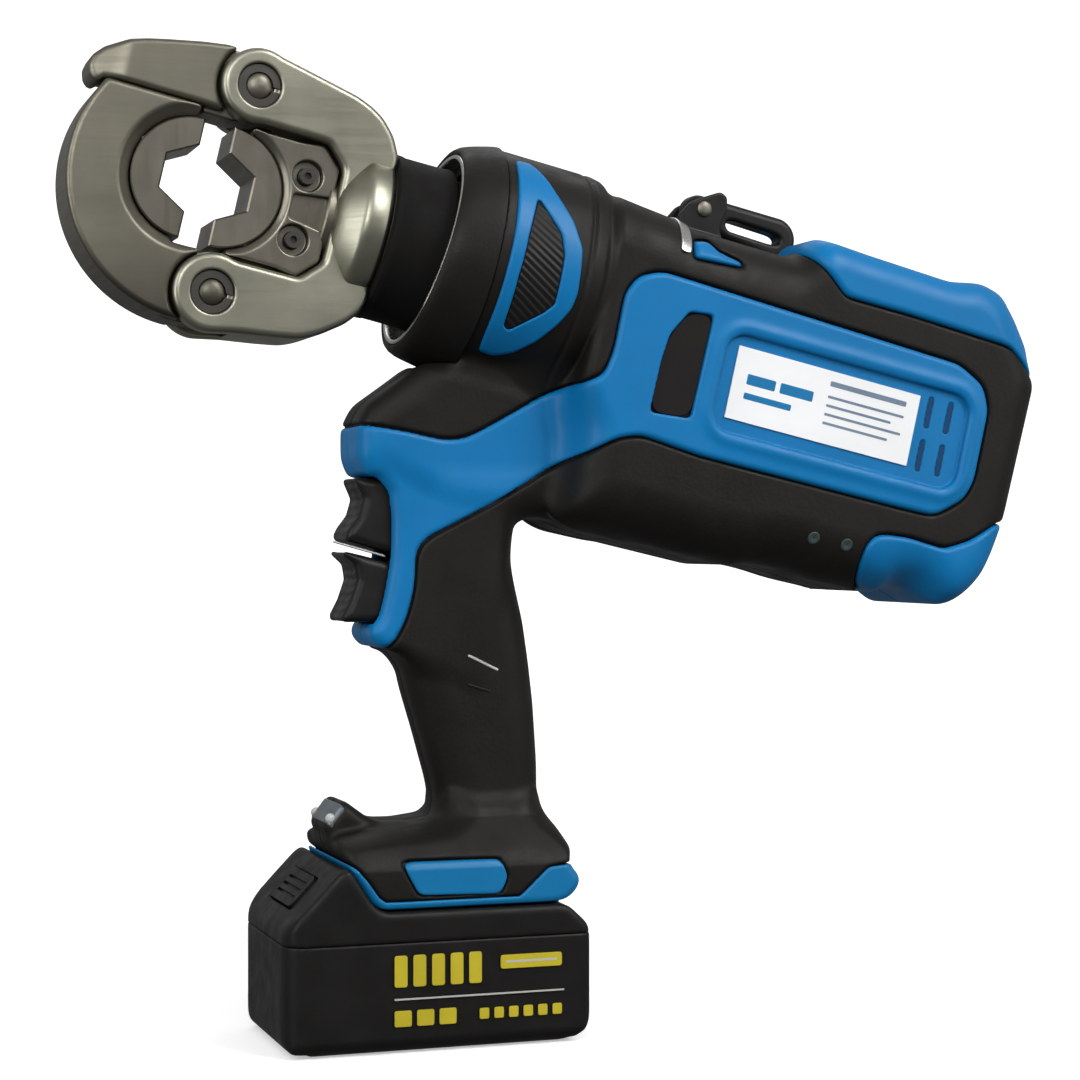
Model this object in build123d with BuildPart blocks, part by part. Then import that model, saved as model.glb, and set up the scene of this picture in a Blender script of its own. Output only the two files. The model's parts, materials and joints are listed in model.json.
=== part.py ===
from build123d import *
import math
import os

os.makedirs("parts", exist_ok=True)

# ---------------------------------------------------------------------------
# Driving dimensions, millimetres. +Z up, -X is the front (crimp head), the
# origin is the centre of the battery's base, the tool is symmetric about Y = 0.
# ---------------------------------------------------------------------------
TILT = 13.0                     # barrel rises towards the front, degrees
HEAD_X, HEAD_Z = -81.0, 313.5   # centre of the crimp opening

# head
HEAD_HALF = 18.0                # half thickness of the fork
PIN_U, PIN_V = 10.0, 38.5       # hinge pins, along and across the barrel axis
PIN_R = 5.5
EAR_R = 13.0
SLOT_HALF = 9.2                 # half width of the slots in the fork's ears
TONGUE_HALF = 8.9
HUB_R = 29.0
SPIGOT_R = 24.5
ROD_R = 17.0
BORE_R = 23.4
PISTON_R = 23.36
JAW_R = 50.7
JAW_HALF = 15.0
JAW_TOP = 26.5
LATCH_HALF = 13.5
DIE_R = 22.2
DIE_FACE = 5.5                  # half the gap between the open dies
DIE_HALF = 13.0
HEX_SIDE = 12.4
CYL_R = 28.0
SLEEVE_R = 30.6

# housing
NOSE_R = 42.0
BODY_HALF = 40.0
GRIP_HALF = 18.5
FRAME_HALF = 17.5
FOOT_HALF = 36.0
SKIN = 1.5                      # thickness of the soft overmould
WALL = 3.4                      # outer surface to cavity

# gear train: sun, three planets, fixed ring
GEAR_M = 0.8
SUN_Z, PLANET_Z, RING_Z = 12, 18, 48
PLANET_C = GEAR_M * (SUN_Z + PLANET_Z) / 2

# battery pack
PACK_LEN, PACK_W = 114.0, 75.0
PACK_SPLIT = 40.0
CELL_R, CELL_LEN = 9.1, 65.0

ct, st = math.cos(math.radians(TILT)), math.sin(math.radians(TILT))
HEAD = Vector(HEAD_X, 0, HEAD_Z)
AU = Vector(ct, 0, -st)         # along the barrel, rearwards
AV = Vector(st, 0, ct)          # across the barrel, upwards

SIDE = Plane(origin=(0, 0, 0), x_dir=(1, 0, 0), z_dir=(0, -1, 0))
BARREL = Plane(origin=HEAD, x_dir=AU, z_dir=(0, -1, 0))


def ring_plane(u):
    """Plane across the barrel axis at u: local x is up, local z runs rearwards."""
    return Plane(origin=HEAD + AU * u, x_dir=AV, z_dir=AU)


def uv_xz(u, v):
    p = HEAD + AU * u + AV * v
    return (p.X, p.Z)


def finish(builder, label):
    builder.part.label = label
    export_step(builder.part, f"parts/{label}.step")


def ease(edges, size):
    """Break the given edges; short edges stay square where the full set can't be broken."""
    for chosen in (edges, ShapeList([e for e in edges if e.length > 6]),
                   ShapeList([e for e in edges if e.length > 14])):
        for length in (size, size * 0.6):
            try:
                chamfer(chosen, length)
                return
            except ValueError:
                continue


def tube(u0, u1, r_out, r_in):
    """A tube about the barrel axis, as a part."""
    with BuildPart() as t:
        with BuildSketch(ring_plane(u0)):
            Circle(r_out)
            if r_in > 0:
                Circle(r_in, mode=Mode.SUBTRACT)
        extrude(amount=u1 - u0)
    return t.part


def shrunk(points, inset):
    """The outline moved inwards by inset, with mitred corners."""
    n = len(points)
    area = sum(points[i][0] * points[(i + 1) % n][1] - points[(i + 1) % n][0] * points[i][1] for i in range(n))
    turn = 1.0 if area > 0 else -1.0
    out = []
    for i in range(n):
        (ax, ay), (bx, by), (cx, cy) = points[i - 1], points[i], points[(i + 1) % n]
        la, lc = math.hypot(bx - ax, by - ay), math.hypot(cx - bx, cy - by)
        n1 = (-(by - ay) / la * turn, (bx - ax) / la * turn)
        n2 = (-(cy - by) / lc * turn, (cx - bx) / lc * turn)
        k = inset / (1 + n1[0] * n2[0] + n1[1] * n2[1])
        out.append((bx + (n1[0] + n2[0]) * k, by + (n1[1] + n2[1]) * k))
    return out


def prism(plane, points, half, inset=0.0):
    """A side outline given a thickness about Y = 0, shrunk all round by inset."""
    with BuildPart() as p:
        with BuildSketch(plane):
            Polygon(*shrunk(points, inset), align=None)
        extrude(amount=half - inset, both=True)
    return p.part


# ---------------------------------------------------------------------------
# Crimp head
# ---------------------------------------------------------------------------
ARM = [(10, 51.5), (46, 43.5), (54, 39.5), (60.5, 33.5), (66, 25), (66, 0), (47, 0),
       (47, 17.5), (39.5, 25.3), (10, 25.3)]
PINS = [(PIN_U, PIN_V), (PIN_U, -PIN_V)]

with BuildPart() as yoke:
    with BuildSketch(BARREL):
        Polygon(*ARM, align=None)
        Polygon(*[(u, -v) for u, v in reversed(ARM)], align=None)
        with Locations(*PINS):
            Circle(EAR_R)
    extrude(amount=HEAD_HALF, both=True)
    ease(yoke.faces().filter_by(Axis.Y).edges(), 1.2)
    with BuildSketch(ring_plane(50)):
        Circle(HUB_R)
    extrude(amount=16)
    with BuildSketch(ring_plane(66)):
        Circle(SPIGOT_R)
    extrude(amount=14)
    with BuildSketch(ring_plane(40)):
        Circle(ROD_R + 0.05)
    extrude(amount=45, mode=Mode.SUBTRACT)
    with BuildSketch(BARREL):
        with Locations(*PINS):
            Circle(16.0)
    extrude(amount=SLOT_HALF, both=True, mode=Mode.SUBTRACT)
    with BuildSketch(BARREL):
        with Locations(*PINS):
            Circle(PIN_R)
    extrude(amount=30, both=True, mode=Mode.SUBTRACT)
    with BuildSketch(BARREL.offset(15.2), BARREL.offset(-15.2 - 6)):
        with Locations(*PINS):
            Circle(8.0)
    extrude(amount=6, mode=Mode.SUBTRACT)
finish(yoke, "yoke")

with BuildPart() as jaw:
    with BuildSketch(BARREL):
        with Locations((0.5, -3.5)):
            Circle(JAW_R)
        Polygon((-46.2, 16), (-45.6, 20.5), (-43.2, JAW_TOP), (-35, JAW_TOP), (-35, 16), align=None)
        with Locations((0, JAW_TOP + 50)):
            Rectangle(240, 100, mode=Mode.SUBTRACT)
        with Locations((-DIE_FACE, 0)):
            Circle(DIE_R + 0.05, mode=Mode.SUBTRACT)
        with Locations((-8 + 50, -24.2 + 50)):
            Rectangle(100, 100, mode=Mode.SUBTRACT)
        with Locations((PIN_U, -PIN_V)):
            Circle(15.0, mode=Mode.SUBTRACT)
        with Locations((2.5 + 50, -50)):
            Rectangle(100, 100, mode=Mode.SUBTRACT)
    extrude(amount=JAW_HALF, both=True)
    ease(jaw.faces().filter_by(Axis.Y).edges(), 1.0)
    with BuildSketch(BARREL):
        with Locations((PIN_U, -PIN_V)):
            Circle(12.3)
        Polygon((-18, -27), (-5, -26), (10, -26.2), (10, -50.8), (-3, -52), (-18, -48), align=None)
    extrude(amount=TONGUE_HALF, both=True)
    with BuildSketch(BARREL):
        with Locations((PIN_U, -PIN_V)):
            Circle(PIN_R + 0.05)
    extrude(amount=30, both=True, mode=Mode.SUBTRACT)
finish(jaw, "jaw")

LATCH_EDGE = [(-45.2, 22.8), (-43.5, JAW_TOP + 0.45), (0, JAW_TOP + 0.45), (0, 50.9), (-4, 50.7),
              (-12.3, 49.5), (-24.6, 46.5), (-38, 41.7), (-47.7, 35.8), (-50.8, 32), (-51.4, 28.5),
              (-50.2, 24.5), (-47.5, 22.6)]
with BuildPart() as latch_lever:
    with BuildSketch(BARREL):
        Polygon(*LATCH_EDGE, align=None)
        with Locations((PIN_U, PIN_V)):
            Circle(14.4, mode=Mode.SUBTRACT)
    extrude(amount=LATCH_HALF, both=True)
    ease(latch_lever.faces().filter_by(Axis.Y).edges(), 1.0)
    with BuildSketch(BARREL):
        with Locations((PIN_U, PIN_V)):
            Circle(12.3)
        Polygon((-14, 27), (-7.2, 27), (-6.4, 25), (4, 25), (10, 26.2), (10, 50.8), (-8, 49.8), align=None)
    extrude(amount=TONGUE_HALF, both=True)
    with BuildSketch(BARREL):
        with Locations((PIN_U, PIN_V)):
            Circle(PIN_R + 0.05)
    extrude(amount=30, both=True, mode=Mode.SUBTRACT)
    # pocket round the pin for the torsion spring
    with BuildSketch(BARREL):
        with Locations((PIN_U, PIN_V)):
            Circle(9.4)
    extrude(amount=3.6, both=True, mode=Mode.SUBTRACT)
finish(latch_lever, "latch_lever")

with BuildPart() as hinge_pins:
    with BuildSketch(BARREL):
        with Locations(*PINS):
            Circle(PIN_R)
    extrude(amount=17.4, both=True)
    chamfer(hinge_pins.faces().filter_by(Axis.Y).edges(), 0.8)
    with BuildSketch(BARREL.offset(15.3), BARREL.offset(-16.5)):
        with Locations(*PINS):
            Circle(PIN_R + 1)
            Circle(PIN_R - 0.6, mode=Mode.SUBTRACT)
    extrude(amount=1.2, mode=Mode.SUBTRACT)
finish(hinge_pins, "hinge_pins")

with BuildPart() as pin_retaining_rings:
    with BuildSketch(BARREL.offset(15.35), BARREL.offset(-16.45)):
        with Locations(*PINS):
            Circle(7.7)
            Circle(PIN_R - 0.55, mode=Mode.SUBTRACT)
        with Locations((PIN_U + 6.5, PIN_V), (PIN_U + 6.5, -PIN_V)):
            Rectangle(6, 1.6, mode=Mode.SUBTRACT)
    extrude(amount=1.1)
finish(pin_retaining_rings, "pin_retaining_rings")

# torsion spring of the latch: close-wound wire round the pin
with BuildPart() as latch_spring:
    with BuildLine():
        coil = Helix(pitch=1.7, height=5.1, radius=7.4,
                     center=HEAD + AU * PIN_U + AV * PIN_V + Vector(0, 2.6, 0), direction=(0, -1, 0))
    with BuildSketch(Plane(origin=coil @ 0, z_dir=coil % 0)):
        Circle(0.65)
    sweep(path=coil, is_frenet=True)
finish(latch_spring, "latch_spring")

HALF_HEX = [(DIE_FACE - 1, HEX_SIDE), (DIE_FACE, HEX_SIDE), (DIE_FACE + HEX_SIDE * math.sqrt(3) / 2, HEX_SIDE / 2),
            (DIE_FACE + HEX_SIDE * math.sqrt(3) / 2, -HEX_SIDE / 2), (DIE_FACE, -HEX_SIDE),
            (DIE_FACE - 1, -HEX_SIDE)]

with BuildPart() as moving_die:
    with BuildSketch(BARREL):
        with Locations((DIE_FACE, 0)):
            Circle(DIE_R)
        with Locations((DIE_FACE - 50, 0)):
            Rectangle(100, 100, mode=Mode.SUBTRACT)
        Polygon(*HALF_HEX, align=None, mode=Mode.SUBTRACT)
    extrude(amount=DIE_HALF, both=True)
    ease(moving_die.faces().filter_by(Axis.Y).edges(), 0.6)
finish(moving_die, "moving_die")

with BuildPart() as fixed_die:
    with BuildSketch(BARREL):
        with Locations((-DIE_FACE, 0)):
            Circle(DIE_R)
        with Locations((-DIE_FACE + 50, 0)):
            Rectangle(100, 100, mode=Mode.SUBTRACT)
        Polygon(*[(-u, v) for u, v in reversed(HALF_HEX)], align=None, mode=Mode.SUBTRACT)
    extrude(amount=DIE_HALF, both=True)
    ease(fixed_die.faces().filter_by(Axis.Y).edges(), 0.6)
finish(fixed_die, "fixed_die")

CRADLE = [(12, -23.8), (12, 23.8), (32, 23.8), (40, 19), (46.2, 17.5), (46.2, -17.5), (40, -19), (32, -23.8)]
SCREW_SPOTS = [(35.0, 12.0), (35.0, -12.0)]
with BuildPart() as ram:
    with BuildSketch(BARREL):
        Polygon(*CRADLE, align=None)
        with Locations((DIE_FACE, 0)):
            Circle(DIE_R + 0.05, mode=Mode.SUBTRACT)
    extrude(amount=14, both=True)
    ease(ram.faces().filter_by(Axis.Y).edges(), 0.8)
    with BuildSketch(ring_plane(44)):
        Circle(ROD_R)
    extrude(amount=52)
    with BuildSketch(ring_plane(96)):
        Circle(PISTON_R)
    extrude(amount=14)
    with BuildSketch(ring_plane(101)):
        Circle(PISTON_R + 1)
        Circle(21.0, mode=Mode.SUBTRACT)
    extrude(amount=5, mode=Mode.SUBTRACT)
    with BuildSketch(BARREL.offset(9.0), BARREL.offset(-9.0 - 8)):
        with Locations(*SCREW_SPOTS):
            Circle(3.0)
    extrude(amount=8, mode=Mode.SUBTRACT)
finish(ram, "ram")

with BuildPart() as die_screws:
    with BuildSketch(BARREL.offset(9.0), BARREL.offset(-14.4)):
        with Locations(*SCREW_SPOTS):
            Circle(3.0)
    extrude(amount=5.4)
    with BuildSketch(BARREL.offset(12.0), BARREL.offset(-16.0)):
        with Locations(*SCREW_SPOTS):
            RegularPolygon(1.5, 6)
    extrude(amount=4.0, mode=Mode.SUBTRACT)
finish(die_screws, "die_screws")

with BuildPart() as piston_seal:
    add(tube(101.1, 105.9, PISTON_R + 0.01, 21.0))
finish(piston_seal, "piston_seal")

with BuildPart() as ram_return_spring:
    with BuildLine():
        coil = Helix(pitch=4.0, height=12.4, radius=20.3, center=HEAD + AU * 81.8, direction=AU)
    with BuildSketch(Plane(origin=coil @ 0, z_dir=coil % 0)):
        Circle(1.5)
    sweep(path=coil, is_frenet=True)
finish(ram_return_spring, "ram_return_spring")

with BuildPart() as cylinder:
    add(tube(66, 118, CYL_R, BORE_R))
    add(tube(66, 80, SPIGOT_R, 0), mode=Mode.SUBTRACT)
    add(tube(99, 103.4, 32.4, CYL_R - 1))
    add(tube(113, 118, CYL_R - 1, 2.5))
finish(cylinder, "cylinder")

with BuildPart() as neck_sleeve:
    add(tube(66.2, 89.2, SLEEVE_R, CYL_R))
    chamfer(neck_sleeve.edges().filter_by(GeomType.CIRCLE).sort_by(SortBy.RADIUS)[-2:], 0.8)
finish(neck_sleeve, "neck_sleeve")

# ---------------------------------------------------------------------------
# Nose
# ---------------------------------------------------------------------------
with BuildPart() as nose_ring:
    add(tube(89.5, 92.5, 36.4, 33.9))
    chamfer(nose_ring.edges().filter_by(GeomType.CIRCLE).sort_by(Axis((HEAD.X, 0, HEAD.Z), (AU.X, 0, AU.Z)))[:2], 0.7)
finish(nose_ring, "nose_ring")

with BuildPart() as nose_collar:
    with BuildSketch(ring_plane(90)):
        Circle(NOSE_R + 0.4)
    extrude(amount=14)
    fillet(nose_collar.edges().filter_by(GeomType.CIRCLE).sort_by(Axis((HEAD.X, 0, HEAD.Z), (AU.X, 0, AU.Z)))[0], 5.0)
    add(tube(89, 92.5, 36.4, 0), mode=Mode.SUBTRACT)
    add(tube(92, 105, 31.4, 0), mode=Mode.SUBTRACT)
    add(tube(98.4, 105, 33.0, 0), mode=Mode.SUBTRACT)
finish(nose_collar, "nose_collar")

with BuildPart() as swivel_bush:
    add(tube(104.2, 116, 33.0, CYL_R + 0.05))
finish(swivel_bush, "swivel_bush")

# ---------------------------------------------------------------------------
# Housing: outer form, skin depth and cavity come from the same outlines
# ---------------------------------------------------------------------------
BODY_SIDE = [(146, -62), (150, -90), (221, -90), (233, -86.5), (300, -86.5), (312, -85), (319, -80.5),
             (327, -70), (332, -58), (335, -46), (335.5, 8), (331.5, 22), (322.5, 33.5), (314.5, 41.5),
             (304, 42), (289, 39.5), (250, 40.5), (234, 39.5), (229, 31.5), (180, 31.5), (175, 36), (146, 36.5)]
WEB_SIDE = [(-1, 252), (-12, 243.5), (-24, 234.5), (-27.5, 228), (-27.5, 215), (10, 190), (75, 185),
            (75, 262), (40, 290)]
FRAME_SIDE = [(-24, 234.5), (-27.5, 226), (-27.5, 214), (-25.5, 208.5), (-19.5, 208), (-14, 202.5), (-12.5, 192),
              (-13, 177.5), (-15.5, 165), (-20, 158), (-25, 154.5), (-25.5, 150), (-21, 146), (-15, 143.5),
              (-8.5, 139.5), (20, 130), (40, 178), (60, 215), (40, 240), (0, 250)]
GRIP_SIDE = [(-8.5, 142), (-5, 128.6), (-1, 113.5), (4, 94.5), (5.5, 86), (6, 70), (48, 70), (48.5, 85.5),
             (47.2, 100.8), (45.5, 123.7), (43.5, 139), (41.3, 154), (38.3, 169.6), (37.8, 177), (40, 184),
             (46, 190), (62, 215), (0, 215)]
FOOT_SIDE = [(5.5, 95), (5.4, 87), (2.3, 82.6), (-6, 81), (-20, 82), (-28, 87.5), (-33.5, 89.6), (-38, 86),
             (-41, 80), (-36.5, 74.6), (-32, 65.2), (-25, 54), (-21.2, 51.3), (54, 51.3), (54.5, 60), (52, 70),
             (49, 80), (48.5, 95)]
FOOT_FRONT = [(-36, 50), (36, 50), (36, 66), (23, 83), (18.5, 97), (-18.5, 97), (-23, 83), (-36, 66)]


def housing_form(inset, foot_floor=None):
    """The whole housing as one solid, shrunk all round by inset."""
    with BuildPart() as form:
        # main body: side outline, cross section and plan outline together
        add(prism(BARREL, BODY_SIDE, BODY_HALF, inset))
        with BuildSketch(ring_plane(140)):
            with Locations((-24, 0)):
                RectangleRounded(134.4 - 2 * inset, 2 * (BODY_HALF - inset), 21 - inset)
        extrude(amount=220, mode=Mode.INTERSECT)
        with BuildSketch(Plane(origin=HEAD + AV * -130, x_dir=AU, z_dir=AV)):
            with Locations((235.5 - 50, 0)):
                RectangleRounded(300 - 2 * inset, 2 * (BODY_HALF - inset), 18 - inset)
        extrude(amount=260, mode=Mode.INTERSECT)
    # chin web, trigger frame and grip, clear of the round nose collar
    with BuildPart() as hand:
        add(prism(SIDE, WEB_SIDE, 19.0, inset))
        add(prism(SIDE, FRAME_SIDE, FRAME_HALF, inset))
        add(prism(SIDE, GRIP_SIDE, GRIP_HALF, inset))
        with BuildSketch(ring_plane(40)):
            Rectangle(2 * (44 + inset), 200)
        extrude(amount=64 + inset, mode=Mode.SUBTRACT)
    # foot: side outline and front outline together
    with BuildPart() as foot:
        add(prism(SIDE, FOOT_SIDE, FOOT_HALF, inset))
        with BuildSketch(Plane(origin=(-60, 0, 0), x_dir=(0, 1, 0), z_dir=(1, 0, 0))):
            Polygon(*shrunk(FOOT_FRONT, inset), align=None)
        extrude(amount=130, mode=Mode.INTERSECT)
        if foot_floor is not None:
            with BuildSketch(Plane.XY.offset(0)):
                Rectangle(300, 300)
            extrude(amount=foot_floor, mode=Mode.SUBTRACT)
    with BuildPart() as whole:
        add(form.part)
        # round nose
        with BuildSketch(ring_plane(104)):
            Circle(NOSE_R - inset)
        extrude(amount=60)
        add(hand.part)
        add(foot.part)
    return whole.part


outer_form = housing_form(0.0)
skin_form = housing_form(SKIN)
cavity_form = housing_form(WALL, foot_floor=61.5)

# blue fields of the side view, where the hard shell reaches the surface
PANEL_BLUE = ([uv_xz(u, v) for u, v in [(155.5, -24), (155, -2), (159, 5.5), (168, 9.5), (296, 6.5), (308, 1),
                                        (312.5, -8), (312.5, -37), (309.5, -45), (298.5, -54), (283, -54.3),
                                        (198, -54.5), (173, -52.5), (164, -56)]]
              + [(47, 211), (26, 198.5), (0.3, 185.5), (-3.5, 181), (-4.3, 166.4), (-7.3, 155.5), (-11, 148),
                 (-16, 142), (-40, 142), (-40, 228.5), (-26, 227.8), (-8, 225), (7, 222), (14.5, 223), (22, 226.7),
                 (45, 239.5)]
              + [uv_xz(153.7, -34)])
TOP_BLUE = [uv_xz(u, v) for u, v in [(226.5, 60), (224, 34), (243, 19), (271, 19.2), (317, 18.1), (329, 11),
                                     (345, 4), (345, 60)]]
TAIL_BLUE = [uv_xz(u, v) for u, v in [(270, -100), (271, -87), (274.4, -75), (279, -66), (290, -64), (305.4, -64.8),
                                      (315.4, -59.3), (325, -51), (345, -43), (345, -100)]]
FOOT_BLUE = [(-14.8, 68.7), (23.2, 68.5), (26.2, 62), (23.2, 54.6), (-8, 55.4)]
HEEL_BLUE = [(29, 53.0), (32, 56), (41.6, 64.8), (49.5, 65.5), (62, 65), (62, 48), (-42, 48), (-42, 53.0)]

with BuildPart() as blue_fields:
    for field in (PANEL_BLUE, TOP_BLUE, TAIL_BLUE, FOOT_BLUE, HEEL_BLUE):
        with BuildSketch(SIDE):
            Polygon(*field, align=None)
        extrude(amount=70, both=True)

# voids common to shell and overmould
PACK_RAIL = [(-22.4, 40), (-22.4, 53.7), (-27.4, 53.7), (-27.4, 58.5), (27.4, 58.5), (27.4, 53.7), (22.4, 53.7),
             (22.4, 40)]
HOUSING_SCREWS = [uv_xz(316, 26), uv_xz(318, -73), uv_xz(242, 29.5), uv_xz(168, -84), (34, 146), (36, 98), (-13, 71),
                  (44.5, 71.5), (-15, 221)]
with BuildPart() as housing_voids:
    with BuildSketch(Plane(origin=(-70, 0, 0), x_dir=(0, 1, 0), z_dir=(1, 0, 0))):
        Polygon(*PACK_RAIL, align=None)
    extrude(amount=70 + 50.6)
    # trigger pocket
    with BuildSketch(SIDE):
        Polygon((-45, 155.5), (-0.5, 155.5), (-0.5, 208.2), (-45, 208.2), align=None)
    extrude(amount=13.0, both=True)
    # work light socket
    with BuildSketch(Plane(origin=(-39.5, 0, 83), x_dir=(0, 1, 0), z_dir=(-0.905, 0, 0.425))):
        Circle(5.0)
    extrude(amount=10, both=True)
    # terminal block opening in the dock floor
    with BuildSketch(Plane.XY.offset(56)):
        with Locations((23, 0)):
            Rectangle(30, 32)
    extrude(amount=8)

# screw seats, reached from the right half
with BuildPart() as screw_seats:
    with BuildSketch(SIDE):
        with Locations(*HOUSING_SCREWS):
            Circle(2.0)
    extrude(amount=12.5, both=True)
    with BuildSketch(SIDE.offset(-70)):
        with Locations(*HOUSING_SCREWS):
            Circle(4.2)
    extrude(amount=70 - 10.0)

# ribs and screw bosses that fill parts of the cavity
RIBS = [(124.5, 127.5, 33.0), (141, 144, 33.0), (186, 189, 25.0), (207, 210, 21.5), (254, 257, 21.5)]
with BuildPart() as rib_work:
    for u0, u1, r in RIBS:
        with BuildSketch(ring_plane(u0)):
            with Locations((6, 0)):
                Rectangle(76, 90)
            Circle(r, mode=Mode.SUBTRACT)
        extrude(amount=u1 - u0)
    with BuildSketch(ring_plane(105.5)):
        Circle(45)
        Circle(33.0, mode=Mode.SUBTRACT)
    extrude(amount=9)
    with BuildSketch(SIDE):
        with Locations(*HOUSING_SCREWS):
            Circle(5.2)
    extrude(amount=60, both=True)
    add(cavity_form, mode=Mode.INTERSECT)

LABEL_UV = [(204.3, -37.6), (282.3, -37.6), (282.3, -9.8), (204.3, -9.8)]
RECESS_C, RECESS_SIZE = (251.5, -24.25), (105.0, 37.5)
WINDOW_UV = [(181.7, -3), (191.3, -1.8), (190.8, -41.4), (174.5, -43), (174.8, -23), (176, -13)]
VENT_ROWS = [(u, v) for u in (288.0, 296.5) for v in (-11.0, -17.0, -28.0, -34.0)]

with BuildPart() as panel_cuts:
    for s in (1, -1):
        with BuildSketch(BARREL.offset(s * BODY_HALF - 1.2)):
            with Locations(RECESS_C):
                RectangleRounded(*RECESS_SIZE, 6)
        extrude(amount=2.4)
    for s in (1, -1):
        with BuildSketch(BARREL.offset(s * BODY_HALF - 2.0)):
            Polygon(*WINDOW_UV, align=None)
        extrude(amount=4.0)
    with BuildSketch(BARREL):
        with Locations(*VENT_ROWS):
            SlotOverall(5.6, 2.0)
    extrude(amount=60, both=True)

with BuildPart() as shell_full:
    add(outer_form)
    add(blue_fields.part, mode=Mode.INTERSECT)
    add(skin_form)
    add(cavity_form, mode=Mode.SUBTRACT)
    add(rib_work.part)
    add(housing_voids.part, mode=Mode.SUBTRACT)
    add(panel_cuts.part, mode=Mode.SUBTRACT)
    add(screw_seats.part, mode=Mode.SUBTRACT)

with BuildPart() as overmould_full:
    add(outer_form)
    add(skin_form, mode=Mode.SUBTRACT)
    add(blue_fields.part, mode=Mode.SUBTRACT)
    add(housing_voids.part, mode=Mode.SUBTRACT)
    add(screw_seats.part, mode=Mode.SUBTRACT)

for half, keep in (("left", Keep.TOP), ("right", Keep.BOTTOM)):
    with BuildPart() as housing_half:
        add(shell_full.part)
        split(bisect_by=Plane.XZ, keep=keep)
    finish(housing_half, f"housing_{half}")
    with BuildPart() as overmould_half:
        add(overmould_full.part)
        split(bisect_by=Plane.XZ, keep=keep)
    finish(overmould_half, f"overmould_{half}")

with BuildPart() as housing_screws:
    with BuildSketch(SIDE.offset(-10.0)):
        with Locations(*HOUSING_SCREWS):
            Circle(2.0)
    extrude(amount=20.0)
    with BuildSketch(SIDE.offset(-12.4)):
        with Locations(*HOUSING_SCREWS):
            Circle(3.8)
    extrude(amount=2.4)
    with BuildSketch(SIDE.offset(-12.4)):
        with Locations(*HOUSING_SCREWS):
            RegularPolygon(1.7, 6)
    extrude(amount=1.5, mode=Mode.SUBTRACT)
finish(housing_screws, "housing_screws")

# ---------------------------------------------------------------------------
# Trim on the two sides
# ---------------------------------------------------------------------------
BADGE_OUT = [(105.4, 33.7), (113, 33.6), (134.5, 14), (137, -14.5), (124, -28.6), (115.6, -36), (108, -36.3),
             (108, -17.6), (109.6, 1.6), (108.4, 20)]
BADGE_IN = [(116, 21.5), (125.4, 11), (127.6, 4), (128.5, -13.6), (125.6, -17.3), (116, -25.6), (114.4, -24.8),
            (113.9, -8), (114.5, 8)]
with BuildPart() as badge_frames:
    with BuildSketch(BARREL):
        Polygon(*BADGE_OUT, align=None)
    extrude(amount=60, both=True)
    add(tube(100, 140, NOSE_R + 1.3, NOSE_R), mode=Mode.INTERSECT)
    with BuildSketch(BARREL):
        Polygon(*BADGE_IN, align=None)
    extrude(amount=60, both=True, mode=Mode.SUBTRACT)
finish(badge_frames, "badge_frames")

with BuildPart() as badge_inlays:
    with BuildSketch(BARREL):
        Polygon(*BADGE_IN, align=None)
    extrude(amount=60, both=True)
    add(tube(100, 140, NOSE_R + 0.8, NOSE_R), mode=Mode.INTERSECT)
finish(badge_inlays, "badge_inlays")

with BuildPart() as rating_plates:
    with BuildSketch(BARREL.offset(BODY_HALF - 1.2), BARREL.offset(-BODY_HALF + 0.6)):
        Polygon(*LABEL_UV, align=None)
    extrude(amount=0.6)
finish(rating_plates, "rating_plates")

with BuildPart() as side_windows:
    with BuildSketch(BARREL.offset(BODY_HALF - 2.0), BARREL.offset(-BODY_HALF + 0.6)):
        Polygon(*WINDOW_UV, align=None)
    extrude(amount=1.4)
finish(side_windows, "side_windows")

# ---------------------------------------------------------------------------
# Hanging loop on top
# ---------------------------------------------------------------------------
LOOP_PIVOT = (190.5, 43.5)
LOOP_END = (223.5, 40.6)
CHEEK = [(181.2, 31.5), (181.2, 42.5), (187, 47.6), (193.5, 52.6), (198.5, 51.5), (200, 46.5), (199, 38), (203, 31.5)]
with BuildPart() as loop_bracket:
    with BuildSketch(BARREL.offset(5.0), BARREL.offset(-8.5)):
        Polygon(*CHEEK, align=None)
    extrude(amount=3.5)
    with BuildSketch(BARREL):
        Polygon((180.6, 31.5), (204.5, 31.5), (203, 34.0), (180.6, 34.0), align=None)
    extrude(amount=11.0, both=True)
    # riveted pivot pin with its two heads
    with BuildSketch(BARREL):
        with Locations(LOOP_PIVOT):
            Circle(2.5)
    extrude(amount=9.0, both=True)
    with BuildSketch(BARREL.offset(8.5), BARREL.offset(-10.3)):
        with Locations(LOOP_PIVOT):
            Circle(4.0)
    extrude(amount=1.8)
finish(loop_bracket, "loop_bracket")

with BuildPart() as hanging_loop:
    with BuildSketch(BARREL):
        with Locations(LOOP_PIVOT):
            Circle(7.3)
        with Locations(LOOP_END):
            Circle(8.3)
        make_hull()
        with Locations(LOOP_PIVOT):
            Circle(2.55, mode=Mode.SUBTRACT)
    extrude(amount=4.4, both=True)
    with BuildSketch(BARREL):
        with BuildLine():
            Polyline((204.5, 38.9), (222.0, 37.3), (226.4, 38.4), (227.0, 41.0), (225.0, 43.4), (222.6, 44.0),
                     (205.2, 45.7), (203.0, 44.6), (202.6, 41.0), close=True)
        make_face()
    extrude(amount=10, both=True, mode=Mode.SUBTRACT)
    ease(hanging_loop.faces().filter_by(Axis.Y).edges(), 1.0)
finish(hanging_loop, "hanging_loop")

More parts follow.
